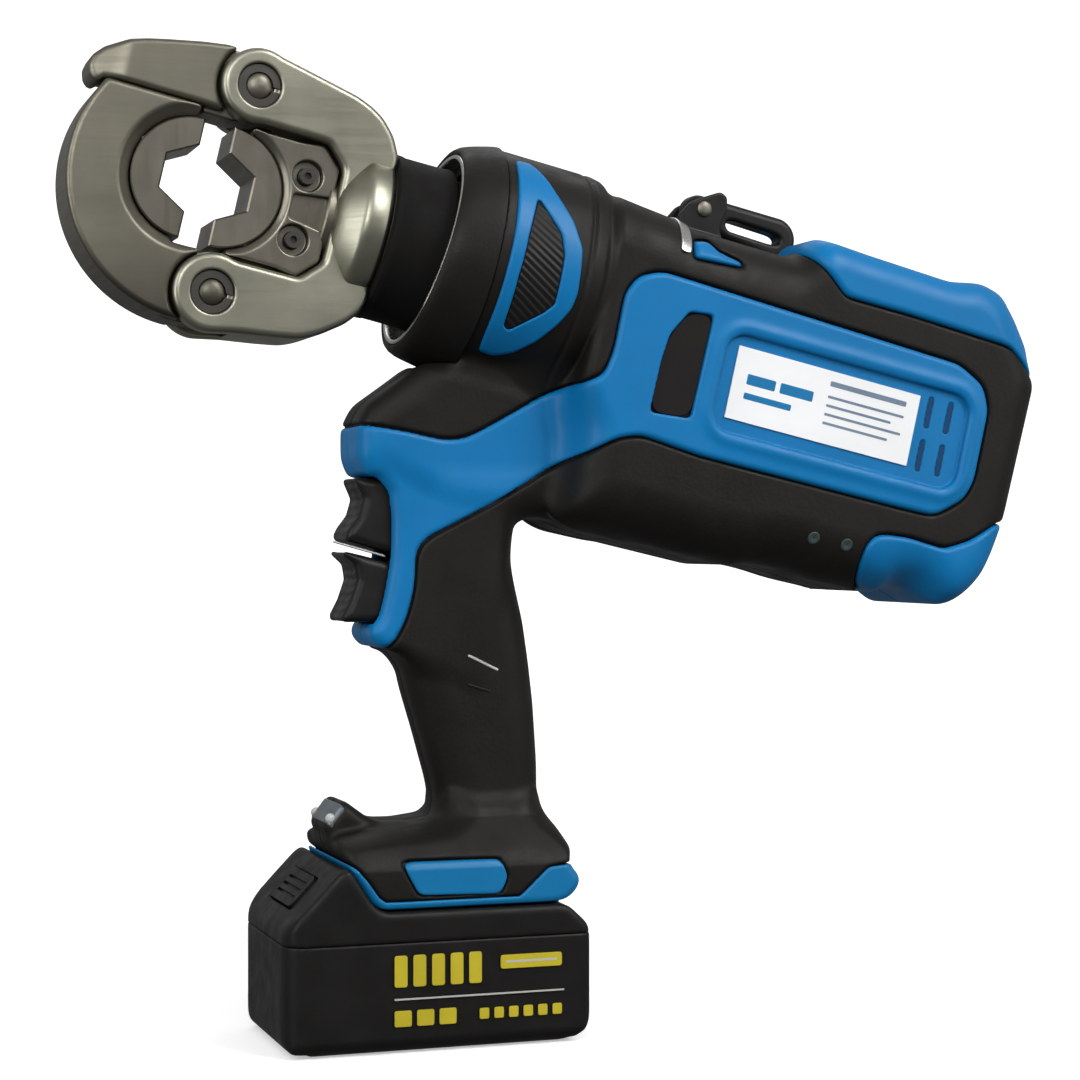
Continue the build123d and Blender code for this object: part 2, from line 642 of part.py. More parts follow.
# ---------------------------------------------------------------------------
# Pump, gear train and motor in line with the barrel
# ---------------------------------------------------------------------------
with BuildPart() as pump_block:
    add(tube(119, 146, 33.0, 0))
    add(tube(146, 168, 32.0, 0))
    add(tube(168, 177, 26.0, 0))
    add(tube(150.5, 156, 11.0, 0), mode=Mode.SUBTRACT)
    add(tube(156, 178, 16.0, 0), mode=Mode.SUBTRACT)
    add(tube(118, 150, 2.5, 0), mode=Mode.SUBTRACT)
    with BuildSketch(Plane(origin=HEAD + AU * 163, x_dir=AU, z_dir=-AV)):
        Circle(4.03)
    extrude(amount=40, mode=Mode.SUBTRACT)
finish(pump_block, "pump_block")

with BuildPart() as pump_plunger:
    with BuildSketch(Plane(origin=HEAD + AU * 163 - AV * 15.4, x_dir=AU, z_dir=-AV)):
        Circle(4.0)
    extrude(amount=15.0)
    chamfer(pump_plunger.faces().sort_by(Axis((0, 0, 0), (AV.X, 0, AV.Z)))[-1].edges(), 0.5)
finish(pump_plunger, "pump_plunger")

with BuildPart() as eccentric_shaft:
    add(tube(151.5, 180.5, 6.0, 0))
    add(tube(180.5, 184.5, 17.0, 0))
    with BuildSketch(ring_plane(157)):
        with Locations((2.0, 0)):
            Circle(9.0)
    extrude(amount=12)
    with BuildSketch(ring_plane(184)):
        with PolarLocations(PLANET_C, 3):
            Circle(2.4)
    extrude(amount=11)
finish(eccentric_shaft, "eccentric_shaft")

with BuildPart() as eccentric_bearing:
    with BuildSketch(ring_plane(158)):
        with Locations((2.0, 0)):
            Circle(13.0)
            Circle(9.0, mode=Mode.SUBTRACT)
    extrude(amount=10)
finish(eccentric_bearing, "eccentric_bearing")

with BuildPart() as shaft_bearings:
    add(tube(151.0, 155.8, 11.0, 6.05))
    add(tube(171.0, 176.5, 16.0, 6.05))
finish(shaft_bearings, "shaft_bearings")

PRESSURE = math.radians(25)
BACKLASH = 0.14                 # taken off each tooth's thickness at the pitch circle


def involute_points(z, internal=False, add_f=0.8, ded_f=1.1, n=6):
    """Closed tooth outline of a spur gear, tooth centred on angle 0."""
    r = GEAR_M * z / 2
    rb = r * math.cos(PRESSURE)
    if internal:
        r_lo, r_hi = r - add_f * GEAR_M, r + ded_f * GEAR_M
    else:
        r_lo, r_hi = r - ded_f * GEAR_M, r + add_f * GEAR_M
    inv = lambda a: math.tan(a) - a
    sign = -1 if internal else 1
    # half thickness angle of the solid tooth (external) or of the tooth space (internal)
    half_pitch = (math.pi * GEAR_M / 2 - sign * BACKLASH) / (2 * r)

    def half_angle(rad):
        rad = max(rad, rb)
        return half_pitch + inv(PRESSURE) - inv(math.acos(rb / rad))

    radii = [r_lo + (r_hi - r_lo) * i / (n - 1) for i in range(n)]
    pts = []
    for k in range(z):
        mid = 2 * math.pi * k / z
        side_a = [(rad, mid - half_angle(rad)) for rad in radii]
        side_b = [(rad, mid + half_angle(rad)) for rad in reversed(radii)]
        pts += [(rad * math.cos(a), rad * math.sin(a)) for rad, a in side_a + side_b]
    return pts


SUN_PTS = involute_points(SUN_Z)
PLANET_PTS = involute_points(PLANET_Z)
RING_PTS = involute_points(RING_Z, internal=True)


def turned(points, degrees, centre=(0.0, 0.0)):
    a = math.radians(degrees)
    return [(centre[0] + x * math.cos(a) - y * math.sin(a), centre[1] + x * math.sin(a) + y * math.cos(a))
            for x, y in points]


with BuildPart() as sun_gear:
    with BuildSketch(ring_plane(185.6)):
        Polygon(*SUN_PTS, align=None)
        Circle(2.5, mode=Mode.SUBTRACT)
    extrude(amount=9.2)
finish(sun_gear, "sun_gear")

for k in range(3):
    ang = 120.0 * k
    centre = (PLANET_C * math.cos(math.radians(ang)), PLANET_C * math.sin(math.radians(ang)))
    with BuildPart() as planet_gear:
        with BuildSketch(ring_plane(186)):
            # a tooth space faces the sun's tooth on the line of centres
            Polygon(*turned(PLANET_PTS, ang + 10.0, centre), align=None)
            with Locations(centre):
                Circle(2.45, mode=Mode.SUBTRACT)
        extrude(amount=8)
    finish(planet_gear, f"planet_gear_{k + 1}")

with BuildPart() as ring_gear:
    with BuildSketch(ring_plane(186)):
        Circle(22.6)
        # tooth spaces are the outline, so a solid tooth stands on the line of centres
        Polygon(*turned(RING_PTS, 180.0 / RING_Z), align=None, mode=Mode.SUBTRACT)
    extrude(amount=8)
finish(ring_gear, "ring_gear")

with BuildPart() as gear_case:
    add(tube(177, 201, 25.0, 22.6))
    add(tube(199, 201, 23.0, 9.0))
finish(gear_case, "gear_case")

with BuildPart() as motor_can:
    add(tube(201, 262, 21.5, 20.0))
    add(tube(201, 203, 20.5, 6.0))
    add(tube(262, 266, 21.5, 3.0))
finish(motor_can, "motor_can")

with BuildPart() as motor_stator:
    add(tube(210, 254, 20.0, 13.4))
    with BuildSketch(ring_plane(209)):
        with PolarLocations(15.0, 9):
            Rectangle(6.4, 2.6)
    extrude(amount=46, mode=Mode.SUBTRACT)
finish(motor_stator, "motor_stator")

with BuildPart() as motor_shaft:
    add(tube(186.2, 284, 2.5, 0))
finish(motor_shaft, "motor_shaft")

with BuildPart() as motor_rotor:
    add(tube(212, 252, 12.8, 2.5))
    with BuildSketch(ring_plane(211)):
        with PolarLocations(12.8, 4, start_angle=45):
            Rectangle(2.0, 1.6)
    extrude(amount=42, mode=Mode.SUBTRACT)
finish(motor_rotor, "motor_rotor")

with BuildPart() as cooling_fan:
    add(tube(268, 278, 6.0, 2.5))
    add(tube(268, 269.5, 19.0, 5.0))
    with BuildSketch(ring_plane(269.5)):
        with PolarLocations(12.0, 9):
            Rectangle(13, 1.4)
    extrude(amount=7)
finish(cooling_fan, "cooling_fan")

with BuildPart() as oil_reservoir:
    with BuildSketch(Plane(origin=HEAD + AU * 200 + AV * -61, x_dir=AU, z_dir=AV)):
        RectangleRounded(76, 52, 9)
    extrude(amount=13, both=True)
    fillet(oil_reservoir.faces().filter_by(Axis((0, 0, 0), (AV.X, 0, AV.Z))).edges(), 5)
finish(oil_reservoir, "oil_reservoir")

with BuildPart() as control_board:
    with BuildSketch(Plane(origin=HEAD + AU * 284 + AV * -62, x_dir=AU, z_dir=AV)):
        Rectangle(62, 50)
    extrude(amount=1.6)
    with BuildSketch(Plane(origin=HEAD + AU * 284 + AV * -60.4, x_dir=AU, z_dir=AV)):
        with GridLocations(16, 14, 3, 2):
            Rectangle(10, 9)
    extrude(amount=4.5)
    with BuildSketch(Plane(origin=HEAD + AU * 284 + AV * -60.4, x_dir=AU, z_dir=AV)):
        with Locations((-24, 20), (-24, -20)):
            Circle(4.5)
    extrude(amount=12)
finish(control_board, "control_board")

# ---------------------------------------------------------------------------
# Triggers, switch, light
# ---------------------------------------------------------------------------
TRIG_ADV = [(-6, 182.6), (-6, 207.6), (-25.0, 207.6), (-25.6, 206.5), (-24.2, 200), (-26.7, 194), (-30.4, 188.5),
            (-31.7, 184.8), (-30.8, 182.6)]
TRIG_REL = [(-6, 156.2), (-6, 181.4), (-30.6, 181.4), (-31.4, 179.5), (-26.9, 175.5), (-26, 170), (-28.6, 162.5),
            (-31.3, 158.6), (-30.0, 156.2)]
for name, pts, z0, z1 in (("trigger_advance", TRIG_ADV, 184.6, 205.6), ("trigger_release", TRIG_REL, 158.2, 179.4)):
    with BuildPart() as trigger:
        with BuildSketch(SIDE):
            Polygon(*pts, align=None)
        extrude(amount=12.4, both=True)
        ease(trigger.faces().filter_by(Axis.Y).edges(), 1.5)
        # spring pocket in the back
        with BuildSketch(Plane(origin=(-6, 0, (z0 + z1) / 2), x_dir=(0, 1, 0), z_dir=(-1, 0, 0))):
            Circle(4.2)
        extrude(amount=8, mode=Mode.SUBTRACT)
    finish(trigger, name)

with BuildPart() as trigger_springs:
    for z in (168.8, 195.1):
        with BuildLine():
            coil = Helix(pitch=2.9, height=12.4, radius=3.2, center=(-13.3, 0, z), direction=(1, 0, 0))
        with BuildSketch(Plane(origin=coil @ 0, z_dir=coil % 0)):
            Circle(0.5)
        sweep(path=coil, is_frenet=True)
finish(trigger_springs, "trigger_springs")

with BuildPart() as trigger_switch:
    with BuildSketch(SIDE):
        Polygon((0, 157), (0, 206), (22, 206), (26, 198), (26, 165), (22, 157), align=None)
    extrude(amount=11, both=True)
    ease(trigger_switch.faces().filter_by(Axis.Y).edges(), 1.0)
finish(trigger_switch, "trigger_switch")

with BuildPart() as work_light:
    with BuildSketch(Plane(origin=(-39.5, 0, 83), x_dir=(0, 1, 0), z_dir=(-0.905, 0, 0.425)).offset(-6)):
        Circle(5.0)
    extrude(amount=6.0)
    fillet(work_light.edges().filter_by(GeomType.CIRCLE).sort_by(Axis.X)[0], 1.6)
finish(work_light, "work_light")

with BuildPart() as battery_leads:
    for y in (-5.0, 5.0):
        with BuildLine():
            route = FilletPolyline((18, y, 70), (18, y, 100), (12, y, 128), (12, y, 157), radius=24)
        with BuildSketch(Plane(origin=route @ 0, z_dir=route % 0)):
            Circle(1.7)
        sweep(path=route)
finish(battery_leads, "battery_leads")

with BuildPart() as terminal_block:
    with BuildSketch(Plane.XY.offset(58.8)):
        with Locations((23, 0)):
            Rectangle(29.6, 31.6)
    extrude(amount=11.2)
    # contact blades moulded into the block
    with BuildSketch(Plane.XY.offset(52.6)):
        with Locations((23, -10), (23, 0), (23, 10)):
            Rectangle(22, 1.0)
    extrude(amount=8)
finish(terminal_block, "terminal_block")

# ---------------------------------------------------------------------------
# Battery pack
# ---------------------------------------------------------------------------
PACK_SIDE = [(-52, 0), (50, 0), (57, 9), (57, 43), (52.5, 50.9), (-21.4, 50.9), (-25.4, 53.8), (-32.4, 65.0),
             (-33.9, 67.6), (-35.2, 67.6), (-57, 45), (-57, 5)]
PACK_FRONT = [(-32.5, 0), (32.5, 0), (37.5, 5), (37.5, 66), (31, 76), (-31, 76), (-37.5, 66), (-37.5, 5)]
BUTTON_C = (-46.1, 56.3)        # middle of the release button's face on the front slope
slope = Vector(-35.2 + 57, 0, 67.6 - 45).normalized()
SLOPE_N = Vector(-slope.Z, 0, slope.X)


PACK_CAVITY = [(-50.9, 2.6), (49, 2.6), (54.4, 10), (54.4, 42), (51, 48.3), (-23, 48.3), (-34.0, 62.2), (-35.4, 63.2),
               (-54.4, 43.5), (-54.4, 6.1)]


def pack_form(inset):
    with BuildPart() as form:
        if inset:
            add(prism(SIDE, PACK_CAVITY, PACK_W / 2 - inset))
        else:
            add(prism(SIDE, PACK_SIDE, PACK_W / 2))
        with BuildSketch(Plane.XY.offset(-1)):
            RectangleRounded(PACK_LEN - 2 * inset, PACK_W - 2 * inset, 9 - inset)
        extrude(amount=90, mode=Mode.INTERSECT)
        with BuildSketch(Plane(origin=(-70, 0, 0), x_dir=(0, 1, 0), z_dir=(1, 0, 0))):
            Polygon(*shrunk(PACK_FRONT, inset), align=None)
        extrude(amount=140, mode=Mode.INTERSECT)
    return form.part


pack_outer = pack_form(0.0)
pack_cavity = pack_form(2.6)
PACK_SCREWS = [(-50.6, -29.5), (-50.6, 29.5), (50.6, -29.5), (50.6, 29.5)]

with BuildPart() as pack_solid:
    add(pack_outer)
    add(pack_cavity, mode=Mode.SUBTRACT)
    # rails and contact slots on top
    with BuildSketch(Plane(origin=(-20, 0, 0), x_dir=(0, 1, 0), z_dir=(1, 0, 0))):
        Polygon((-22, 48.4), (-22, 54), (-27, 54), (-27, 58), (27, 58), (27, 54), (22, 54), (22, 48.4), align=None)
    extrude(amount=70)
    with BuildSketch(Plane.XY.offset(50.5)):
        with Locations((30.5, -10), (30.5, 0), (30.5, 10)):
            Rectangle(41, 5.0)
    extrude(amount=10, mode=Mode.SUBTRACT)
    # button pocket through the front slope
    with BuildSketch(Plane(origin=(BUTTON_C[0], 0, BUTTON_C[1]), x_dir=(0, 1, 0), z_dir=SLOPE_N)):
        Rectangle(34.6, 14.6)
    extrude(amount=6, both=True, mode=Mode.SUBTRACT)

# screw posts in the four corners
with BuildPart() as pack_posts:
    with BuildSketch(Plane.XY):
        with Locations(*PACK_SCREWS):
            Circle(3.9)
    extrude(amount=46.5)
    add(pack_outer, mode=Mode.INTERSECT)

with BuildPart() as battery_base:
    add(pack_solid.part)
    add(pack_posts.part)
    with BuildSketch(Plane.XY.offset(PACK_SPLIT)):
        Rectangle(300, 300)
    extrude(amount=100, mode=Mode.SUBTRACT)
    with BuildSketch(Plane.XY):
        with Locations(*PACK_SCREWS):
            Circle(1.75)
    extrude(amount=60, mode=Mode.SUBTRACT)
    with BuildSketch(Plane.XY.offset(-1)):
        with Locations(*PACK_SCREWS):
            Circle(3.3)
    extrude(amount=11.4, mode=Mode.SUBTRACT)
finish(battery_base, "battery_base")

with BuildPart() as battery_cover:
    add(pack_solid.part)
    add(pack_posts.part)
    with BuildSketch(Plane.XY.offset(PACK_SPLIT)):
        Rectangle(300, 300)
    extrude(amount=-100, mode=Mode.SUBTRACT)
    with BuildSketch(Plane.XY.offset(PACK_SPLIT)):
        with Locations(*PACK_SCREWS):
            Circle(1.75)
    extrude(amount=5.5, mode=Mode.SUBTRACT)
finish(battery_cover, "battery_cover")

with BuildPart() as battery_screws:
    with BuildSketch(Plane.XY.offset(8.0)):
        with Locations(*PACK_SCREWS):
            Circle(3.1)
    extrude(amount=2.4)
    with BuildSketch(Plane.XY.offset(10.0)):
        with Locations(*PACK_SCREWS):
            Circle(1.75)
    extrude(amount=35.0)
    with BuildSketch(Plane.XY.offset(8.0)):
        with Locations(*PACK_SCREWS):
            RegularPolygon(1.4, 6)
    extrude(amount=1.4, mode=Mode.SUBTRACT)
finish(battery_screws, "battery_screws")

with BuildPart() as battery_cells:
    with BuildSketch(SIDE):
        with Locations(*[(x, z) for x in (-37.4, -18.7, 0.0, 18.7, 37.4) for z in (13.0, 31.4)]):
            Circle(CELL_R)
    extrude(amount=CELL_LEN / 2, both=True)
finish(battery_cells, "battery_cells")

with BuildPart() as battery_contacts:
    for y in (-10, 0, 10):
        with BuildSketch(Plane.XY.offset(50.5)):
            with Locations((23, y)):
                Rectangle(16, 3.8)
                Rectangle(16, 2.2, mode=Mode.SUBTRACT)
        extrude(amount=6.0)
        with BuildSketch(Plane.XY.offset(50.5)):
            with Locations((23, y)):
                Rectangle(16, 3.8)
        extrude(amount=1.0)
finish(battery_contacts, "battery_contacts")

with BuildPart() as battery_button:
    with BuildSketch(Plane(origin=(BUTTON_C[0], 0, BUTTON_C[1]), x_dir=(0, 1, 0), z_dir=SLOPE_N).offset(-5.0)):
        RectangleRounded(34.0, 14.0, 2.5)
    extrude(amount=6.2)
    with BuildSketch(Plane(origin=(BUTTON_C[0], 0, BUTTON_C[1]), x_dir=(0, 1, 0), z_dir=SLOPE_N).offset(0.0)):
        with Locations((0, -3.2), (0, 0), (0, 3.2)):
            Rectangle(26, 1.2)
    extrude(amount=3.0, mode=Mode.SUBTRACT)
finish(battery_button, "battery_button")

with BuildPart() as button_spring:
    with BuildLine():
        coil = Helix(pitch=2.4, height=6.5, radius=3.4,
                     center=Vector(BUTTON_C[0], 0, BUTTON_C[1]) - SLOPE_N * 12.2, direction=SLOPE_N)
    with BuildSketch(Plane(origin=coil @ 0, z_dir=coil % 0)):
        Circle(0.55)
    sweep(path=coil, is_frenet=True)
finish(button_spring, "button_spring")
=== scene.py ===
import json
import math

import bpy
import numpy as np
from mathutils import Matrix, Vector


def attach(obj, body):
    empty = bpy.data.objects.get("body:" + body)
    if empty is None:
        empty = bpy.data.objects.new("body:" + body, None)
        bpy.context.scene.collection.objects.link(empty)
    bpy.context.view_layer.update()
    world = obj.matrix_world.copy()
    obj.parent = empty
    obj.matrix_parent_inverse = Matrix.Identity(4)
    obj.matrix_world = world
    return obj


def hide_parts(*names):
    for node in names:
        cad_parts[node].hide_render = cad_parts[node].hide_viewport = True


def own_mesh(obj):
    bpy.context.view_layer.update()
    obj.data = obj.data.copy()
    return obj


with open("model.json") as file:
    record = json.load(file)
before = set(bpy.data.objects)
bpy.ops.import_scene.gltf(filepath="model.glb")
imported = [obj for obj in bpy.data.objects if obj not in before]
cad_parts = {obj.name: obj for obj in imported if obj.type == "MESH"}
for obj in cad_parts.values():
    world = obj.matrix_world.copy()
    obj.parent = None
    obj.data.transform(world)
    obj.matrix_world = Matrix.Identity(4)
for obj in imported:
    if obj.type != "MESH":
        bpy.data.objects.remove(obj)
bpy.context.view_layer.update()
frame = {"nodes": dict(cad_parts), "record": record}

MM = 0.001
NODES = frame["nodes"]

# ---------------------------------------------------------------------------
# Frame of the barrel, millimetres: u runs rearwards along it, v across it
# ---------------------------------------------------------------------------
TILT = math.radians(13.0)
ct, st = math.cos(TILT), math.sin(TILT)
HX, HZ = -81.0, 313.5


def to_xz(u, v):
    return HX + u * ct + v * st, HZ - u * st + v * ct


def to_uv(x, z):
    return (x - HX) * ct - (z - HZ) * st, (x - HX) * st + (z - HZ) * ct


# ---------------------------------------------------------------------------
# Signed distance helpers
# ---------------------------------------------------------------------------
def sd_poly(px, pz, pts):
    """Signed distance to a closed outline, negative inside."""
    d = np.full(px.shape, 1e12, np.float32)
    s = np.ones(px.shape, np.float32)
    n = len(pts)
    for i in range(n):
        ax, az = pts[i]
        bx, bz = pts[i - 1]
        ex, ez = bx - ax, bz - az
        wx, wz = px - ax, pz - az
        t = np.clip((wx * ex + wz * ez) / (ex * ex + ez * ez + 1e-12), 0, 1)
        d = np.minimum(d, (wx - ex * t) ** 2 + (wz - ez * t) ** 2)
        c1, c2, c3 = pz >= az, pz < bz, ex * wz > ez * wx
        s = np.where((c1 & c2 & c3) | (~c1 & ~c2 & ~c3), -s, s)
    return (s * np.sqrt(d)).astype(np.float32)


def sd_line(px, pz, pts):
    """Distance to an open run of points."""
    d = np.full(px.shape, 1e12, np.float32)
    for (ax, az), (bx, bz) in zip(pts[:-1], pts[1:]):
        ex, ez = bx - ax, bz - az
        wx, wz = px - ax, pz - az
        t = np.clip((wx * ex + wz * ez) / (ex * ex + ez * ez + 1e-12), 0, 1)
        d = np.minimum(d, (wx - ex * t) ** 2 + (wz - ez * t) ** 2)
    return np.sqrt(d).astype(np.float32)


def sd_rrect(px, pz, cx, cz, w, h, r):
    qx, qz = np.abs(px - cx) - w / 2 + r, np.abs(pz - cz) - h / 2 + r
    return (np.minimum(np.maximum(qx, qz), 0) + np.hypot(np.maximum(qx, 0), np.maximum(qz, 0)) - r).astype(np.float32)


def rmax(a, b, r):
    """Intersection with a rounded edge of radius r."""
    return np.minimum(np.maximum(a, b), -r) + np.sqrt(np.maximum(a + r, 0) ** 2 + np.maximum(b + r, 0) ** 2)


def rmin(a, b, r):
    """Union with a fillet of radius r."""
    return -rmax(-a, -b, r)


def step(x, a, b):
    t = np.clip((x - a) / (b - a), 0, 1)
    return t * t * (3 - 2 * t)


def blur(f, cells):
    """Three box passes over a side-view field: rounds its corners, leaves straight edges."""
    k = max(1, int(round(cells)))
    w = 2 * k + 1
    for _ in range(3):
        for ax in (0, 1):
            p = np.pad(f.astype(np.float64), [(k + 1, k) if a == ax else (0, 0) for a in (0, 1)], mode="edge")
            c = np.cumsum(p, axis=ax)
            f = (c[w:] - c[:-w]) / w if ax == 0 else (c[:, w:] - c[:, :-w]) / w
    return f.astype(np.float32)


class Grid:
    """Sample points in (side x, side z, y), or in (u, v, y) for pieces that lie along the barrel."""

    def __init__(self, lo, hi, h, barrel=False):
        self.lo, self.h, self.barrel = np.array(lo, float), h, barrel
        n = [int(math.ceil((b - a) / h)) + 1 for a, b in zip(lo, hi)]
        self.a, self.c, self.y = [(lo[i] + h * np.arange(n[i])).astype(np.float32) for i in range(3)]
        A, C = np.meshgrid(self.a, self.c, indexing="ij")
        if barrel:
            self.U, self.V = A, C
            self.X, self.Z = to_xz(A, C)
        else:
            self.X, self.Z = A, C
            self.U, self.V = to_uv(A, C)
        self.Y = self.y[None, None, :]

    def poly(self, pts, uv=None, r=0.0):
        uv = self.barrel if uv is None else uv
        f = sd_poly(self.U, self.V, pts) if uv else sd_poly(self.X, self.Z, pts)
        return blur(f, r / self.h) if r else f


def f3(a):
    return a[:, :, None]


def nets(F, h):
    """Surface of F = 0 as quads, one vertex to a cell, pulled onto the surface; index coordinates."""
    F = F.astype(np.float32)
    for ax in range(3):
        for end in (0, -1):
            sl = [slice(None)] * 3
            sl[ax] = end
            F[tuple(sl)] = np.maximum(F[tuple(sl)], h)
    S = F < 0
    n = np.array(F.shape)
    cnt = np.zeros(n - 1, np.int8)
    for i in (0, 1):
        for j in (0, 1):
            for k in (0, 1):
                cnt += S[i:n[0] - 1 + i, j:n[1] - 1 + j, k:n[2] - 1 + k]
    act = (cnt > 0) & (cnt < 8)
    I = np.argwhere(act)
    idx = np.full(act.shape, -1, np.int32)
    idx[act] = np.arange(len(I), dtype=np.int32)
    offs = np.array([(i, j, k) for i in (0, 1) for j in (0, 1) for k in (0, 1)])
    val = np.stack([F[I[:, 0] + o[0], I[:, 1] + o[1], I[:, 2] + o[2]] for o in offs], 1)
    pos = np.zeros((len(I), 3), np.float32)
    num = np.zeros(len(I), np.float32)
    for p in range(8):
        for q in range(p + 1, 8):
            if np.abs(offs[p] - offs[q]).sum() != 1:
                continue
            va, vb = val[:, p], val[:, q]
            m = (va < 0) != (vb < 0)
            t = np.where(m, va / np.where(m, va - vb, 1), 0)[:, None]
            pos += np.where(m[:, None], offs[p] + (offs[q] - offs[p]) * t, 0)
            num += m
    P = I + pos / num[:, None]
    quads = []
    for ax in range(3):
        b, c = (ax + 1) % 3, (ax + 2) % 3
        sl0, sl1 = [slice(None)] * 3, [slice(None)] * 3
        sl0[ax], sl1[ax] = slice(0, -1), slice(1, None)
        E = np.argwhere(S[tuple(sl0)] != S[tuple(sl1)])
        inner = (E[:, b] > 0) & (E[:, c] > 0) & (E[:, b] < n[b] - 1) & (E[:, c] < n[c] - 1)
        E = E[inner]
        low = S[E[:, 0], E[:, 1], E[:, 2]]
        ring = []
        for db, dc in ((-1, -1), (0, -1), (0, 0), (-1, 0)):
            q = E.copy()
            q[:, b] += db
            q[:, c] += dc
            ring.append(idx[q[:, 0], q[:, 1], q[:, 2]])
        Q = np.stack(ring, 1)
        Q[~low] = Q[~low][:, ::-1]
        quads.append(Q)
    return P, np.concatenate(quads), F


def sample(F, P):
    n = np.array(F.shape)
    i = np.clip(np.floor(P).astype(np.int64), 0, n - 2)
    f = (P - i).astype(np.float32)
    out = np.zeros(len(P), np.float32)
    for a in (0, 1):
        wa = f[:, 0] if a else 1 - f[:, 0]
        for b in (0, 1):
            wb = f[:, 1] if b else 1 - f[:, 1]
            for c in (0, 1):
                wc = f[:, 2] if c else 1 - f[:, 2]
                out += wa * wb * wc * F[i[:, 0] + a, i[:, 1] + b, i[:, 2] + c]
    return out


def slope(F, P, e=0.6):
    g = np.zeros((len(P), 3), np.float32)
    for ax in range(3):
        d = np.zeros(3)
        d[ax] = e
        g[:, ax] = (sample(F, P + d) - sample(F, P - d)) / (2 * e)
    return g


def new_object(name, mesh, mat):
    ob = bpy.data.objects.new(name, mesh)
    bpy.context.scene.collection.objects.link(ob)
    mesh.materials.clear()
    mesh.materials.append(mat)
    return ob


def finish_piece(ob, body, replaces=()):
    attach(ob, body)
    if replaces:
        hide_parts(*replaces)
    return ob


def form(name, grid, F, mat, body, replaces=(), mirror=False, faces=90000):
    """A smooth closed mesh of the solid where F < 0. faces is how many triangles are kept."""
    P, Q, F = nets(F, grid.h)
    for _ in range(3):
        g = slope(F, P)
        P = P - (sample(F, P) / np.maximum((g * g).sum(1), 0.15 * grid.h ** 2))[:, None] * g * 0.8
    # index order is (x, z, y), which is left-handed
    Q = Q[:, ::-1]

    def place(P):
        q = grid.lo + P * grid.h
        a, c, y = q[:, 0], q[:, 1], q[:, 2]
        if grid.barrel:
            a, c = to_xz(a, c)
        return np.stack([a, -y if mirror else y, c], 1) * MM

    if mirror:
        Q = Q[:, ::-1]
    mesh = bpy.data.meshes.new(name)
    mesh.from_pydata(place(P).tolist(), [], Q.tolist())
    ob = new_object(name, mesh, mat)
    if 2 * len(Q) > faces:
        m = ob.modifiers.new("fewer", "DECIMATE")
        m.ratio = faces / (2.0 * len(Q))
        dg = bpy.context.evaluated_depsgraph_get()
        small = bpy.data.meshes.new_from_object(ob.evaluated_get(dg))
        ob.modifiers.clear()
        ob.data = small
        bpy.data.meshes.remove(mesh)
        mesh = small
        mesh.name = name
    co = np.zeros(len(mesh.vertices) * 3, np.float32)
    mesh.vertices.foreach_get("co", co)
    co = co.reshape(-1, 3).astype(np.float64) / MM
    y = -co[:, 1] if mirror else co[:, 1]
    a, c = (to_uv(co[:, 0], co[:, 2]) if grid.barrel else (co[:, 0], co[:, 2]))
    g = slope(F, (np.stack([a, c, y], 1) - grid.lo) / grid.h)
    g /= np.maximum(np.linalg.norm(g, axis=1), 1e-9)[:, None]
    if grid.barrel:
        g[:, 0], g[:, 1] = g[:, 0] * ct + g[:, 1] * st, -g[:, 0] * st + g[:, 1] * ct
    normals = np.stack([g[:, 0], -g[:, 2] if mirror else g[:, 2], g[:, 1]], 1)
    mesh.polygons.foreach_set("use_smooth", np.ones(len(mesh.polygons), bool))
    mesh.normals_split_custom_set_from_vertices(normals.tolist())
    mesh.update()
    return finish_piece(ob, body, replaces)


def lathe(name, profile, mat, body, replaces=(), turns=192, centre=(0.0, 0.0), axis="u", smooth=38, lean=0.0,
          swell=0.0):
    """A ring about the barrel axis from a closed (u, r) outline, or about Y through a (u, v) point.
    lean slopes what lies in front of u = 104; swell makes what lies beyond r = 38 taller than wide."""
    n, verts, faces = len(profile), [], []
    for i in range(turns):
        a = 2 * math.pi * i / turns
        for u, r in profile:
            if axis == "u":
                v = r * math.cos(a) * (1 + swell * max(0.0, r - 38.0) / 5.0)
                x, z = to_xz(u + lean * v * min(1.0, max(0.0, (104.0 - u) / 14.0)), v)
                verts.append((x * MM, r * math.sin(a) * MM, z * MM))
            else:
                x, z = to_xz(centre[0] + r * math.cos(a), centre[1] + r * math.sin(a))
                verts.append((x * MM, u * MM, z * MM))
    for i in range(turns):
        j = (i + 1) % turns
        for k in range(n):
            m = (k + 1) % n
            faces.append((i * n + k, i * n + m, j * n + m, j * n + k))
    mesh = bpy.data.meshes.new(name)
    mesh.from_pydata(verts, [], faces)
    return closed(name, mesh, mat, body, replaces, smooth)


def coil(name, base, along, radius, wire, height, turns, body, replaces):
    """A compression spring with closed ends. Millimetres."""
    along = Vector(along).normalized()
    side = Vector((0.0, 1.0, 0.0))
    other = along.cross(side)
    n, m, verts, faces = int(turns * 32), 12, [], []
    for i in range(n + 1):
        t = i / n
        a = 2 * math.pi * turns * t
        rise = min(1.0, max(0.0, (t * turns - 0.5) / (turns - 1.0)))
        out = side * math.cos(a) + other * math.sin(a)
        c = Vector(base) + along * (height * rise) + out * radius
        for k in range(m):
            b = 2 * math.pi * k / m
            verts.append((c + out * (wire * math.cos(b)) + along * (wire * math.sin(b))) * MM)
    for i in range(n):
        for k in range(m):
            q = (k + 1) % m
            faces.append((i * m + k, i * m + q, (i + 1) * m + q, (i + 1) * m + k))
    faces.append(tuple(range(m)))
    faces.append(tuple(range(n * m, n * m + m)))
    mesh = bpy.data.meshes.new(name)
    mesh.from_pydata(verts, [], faces)
    ob = closed(name, mesh, WIRE, body, replaces)
    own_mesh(ob)
    return ob


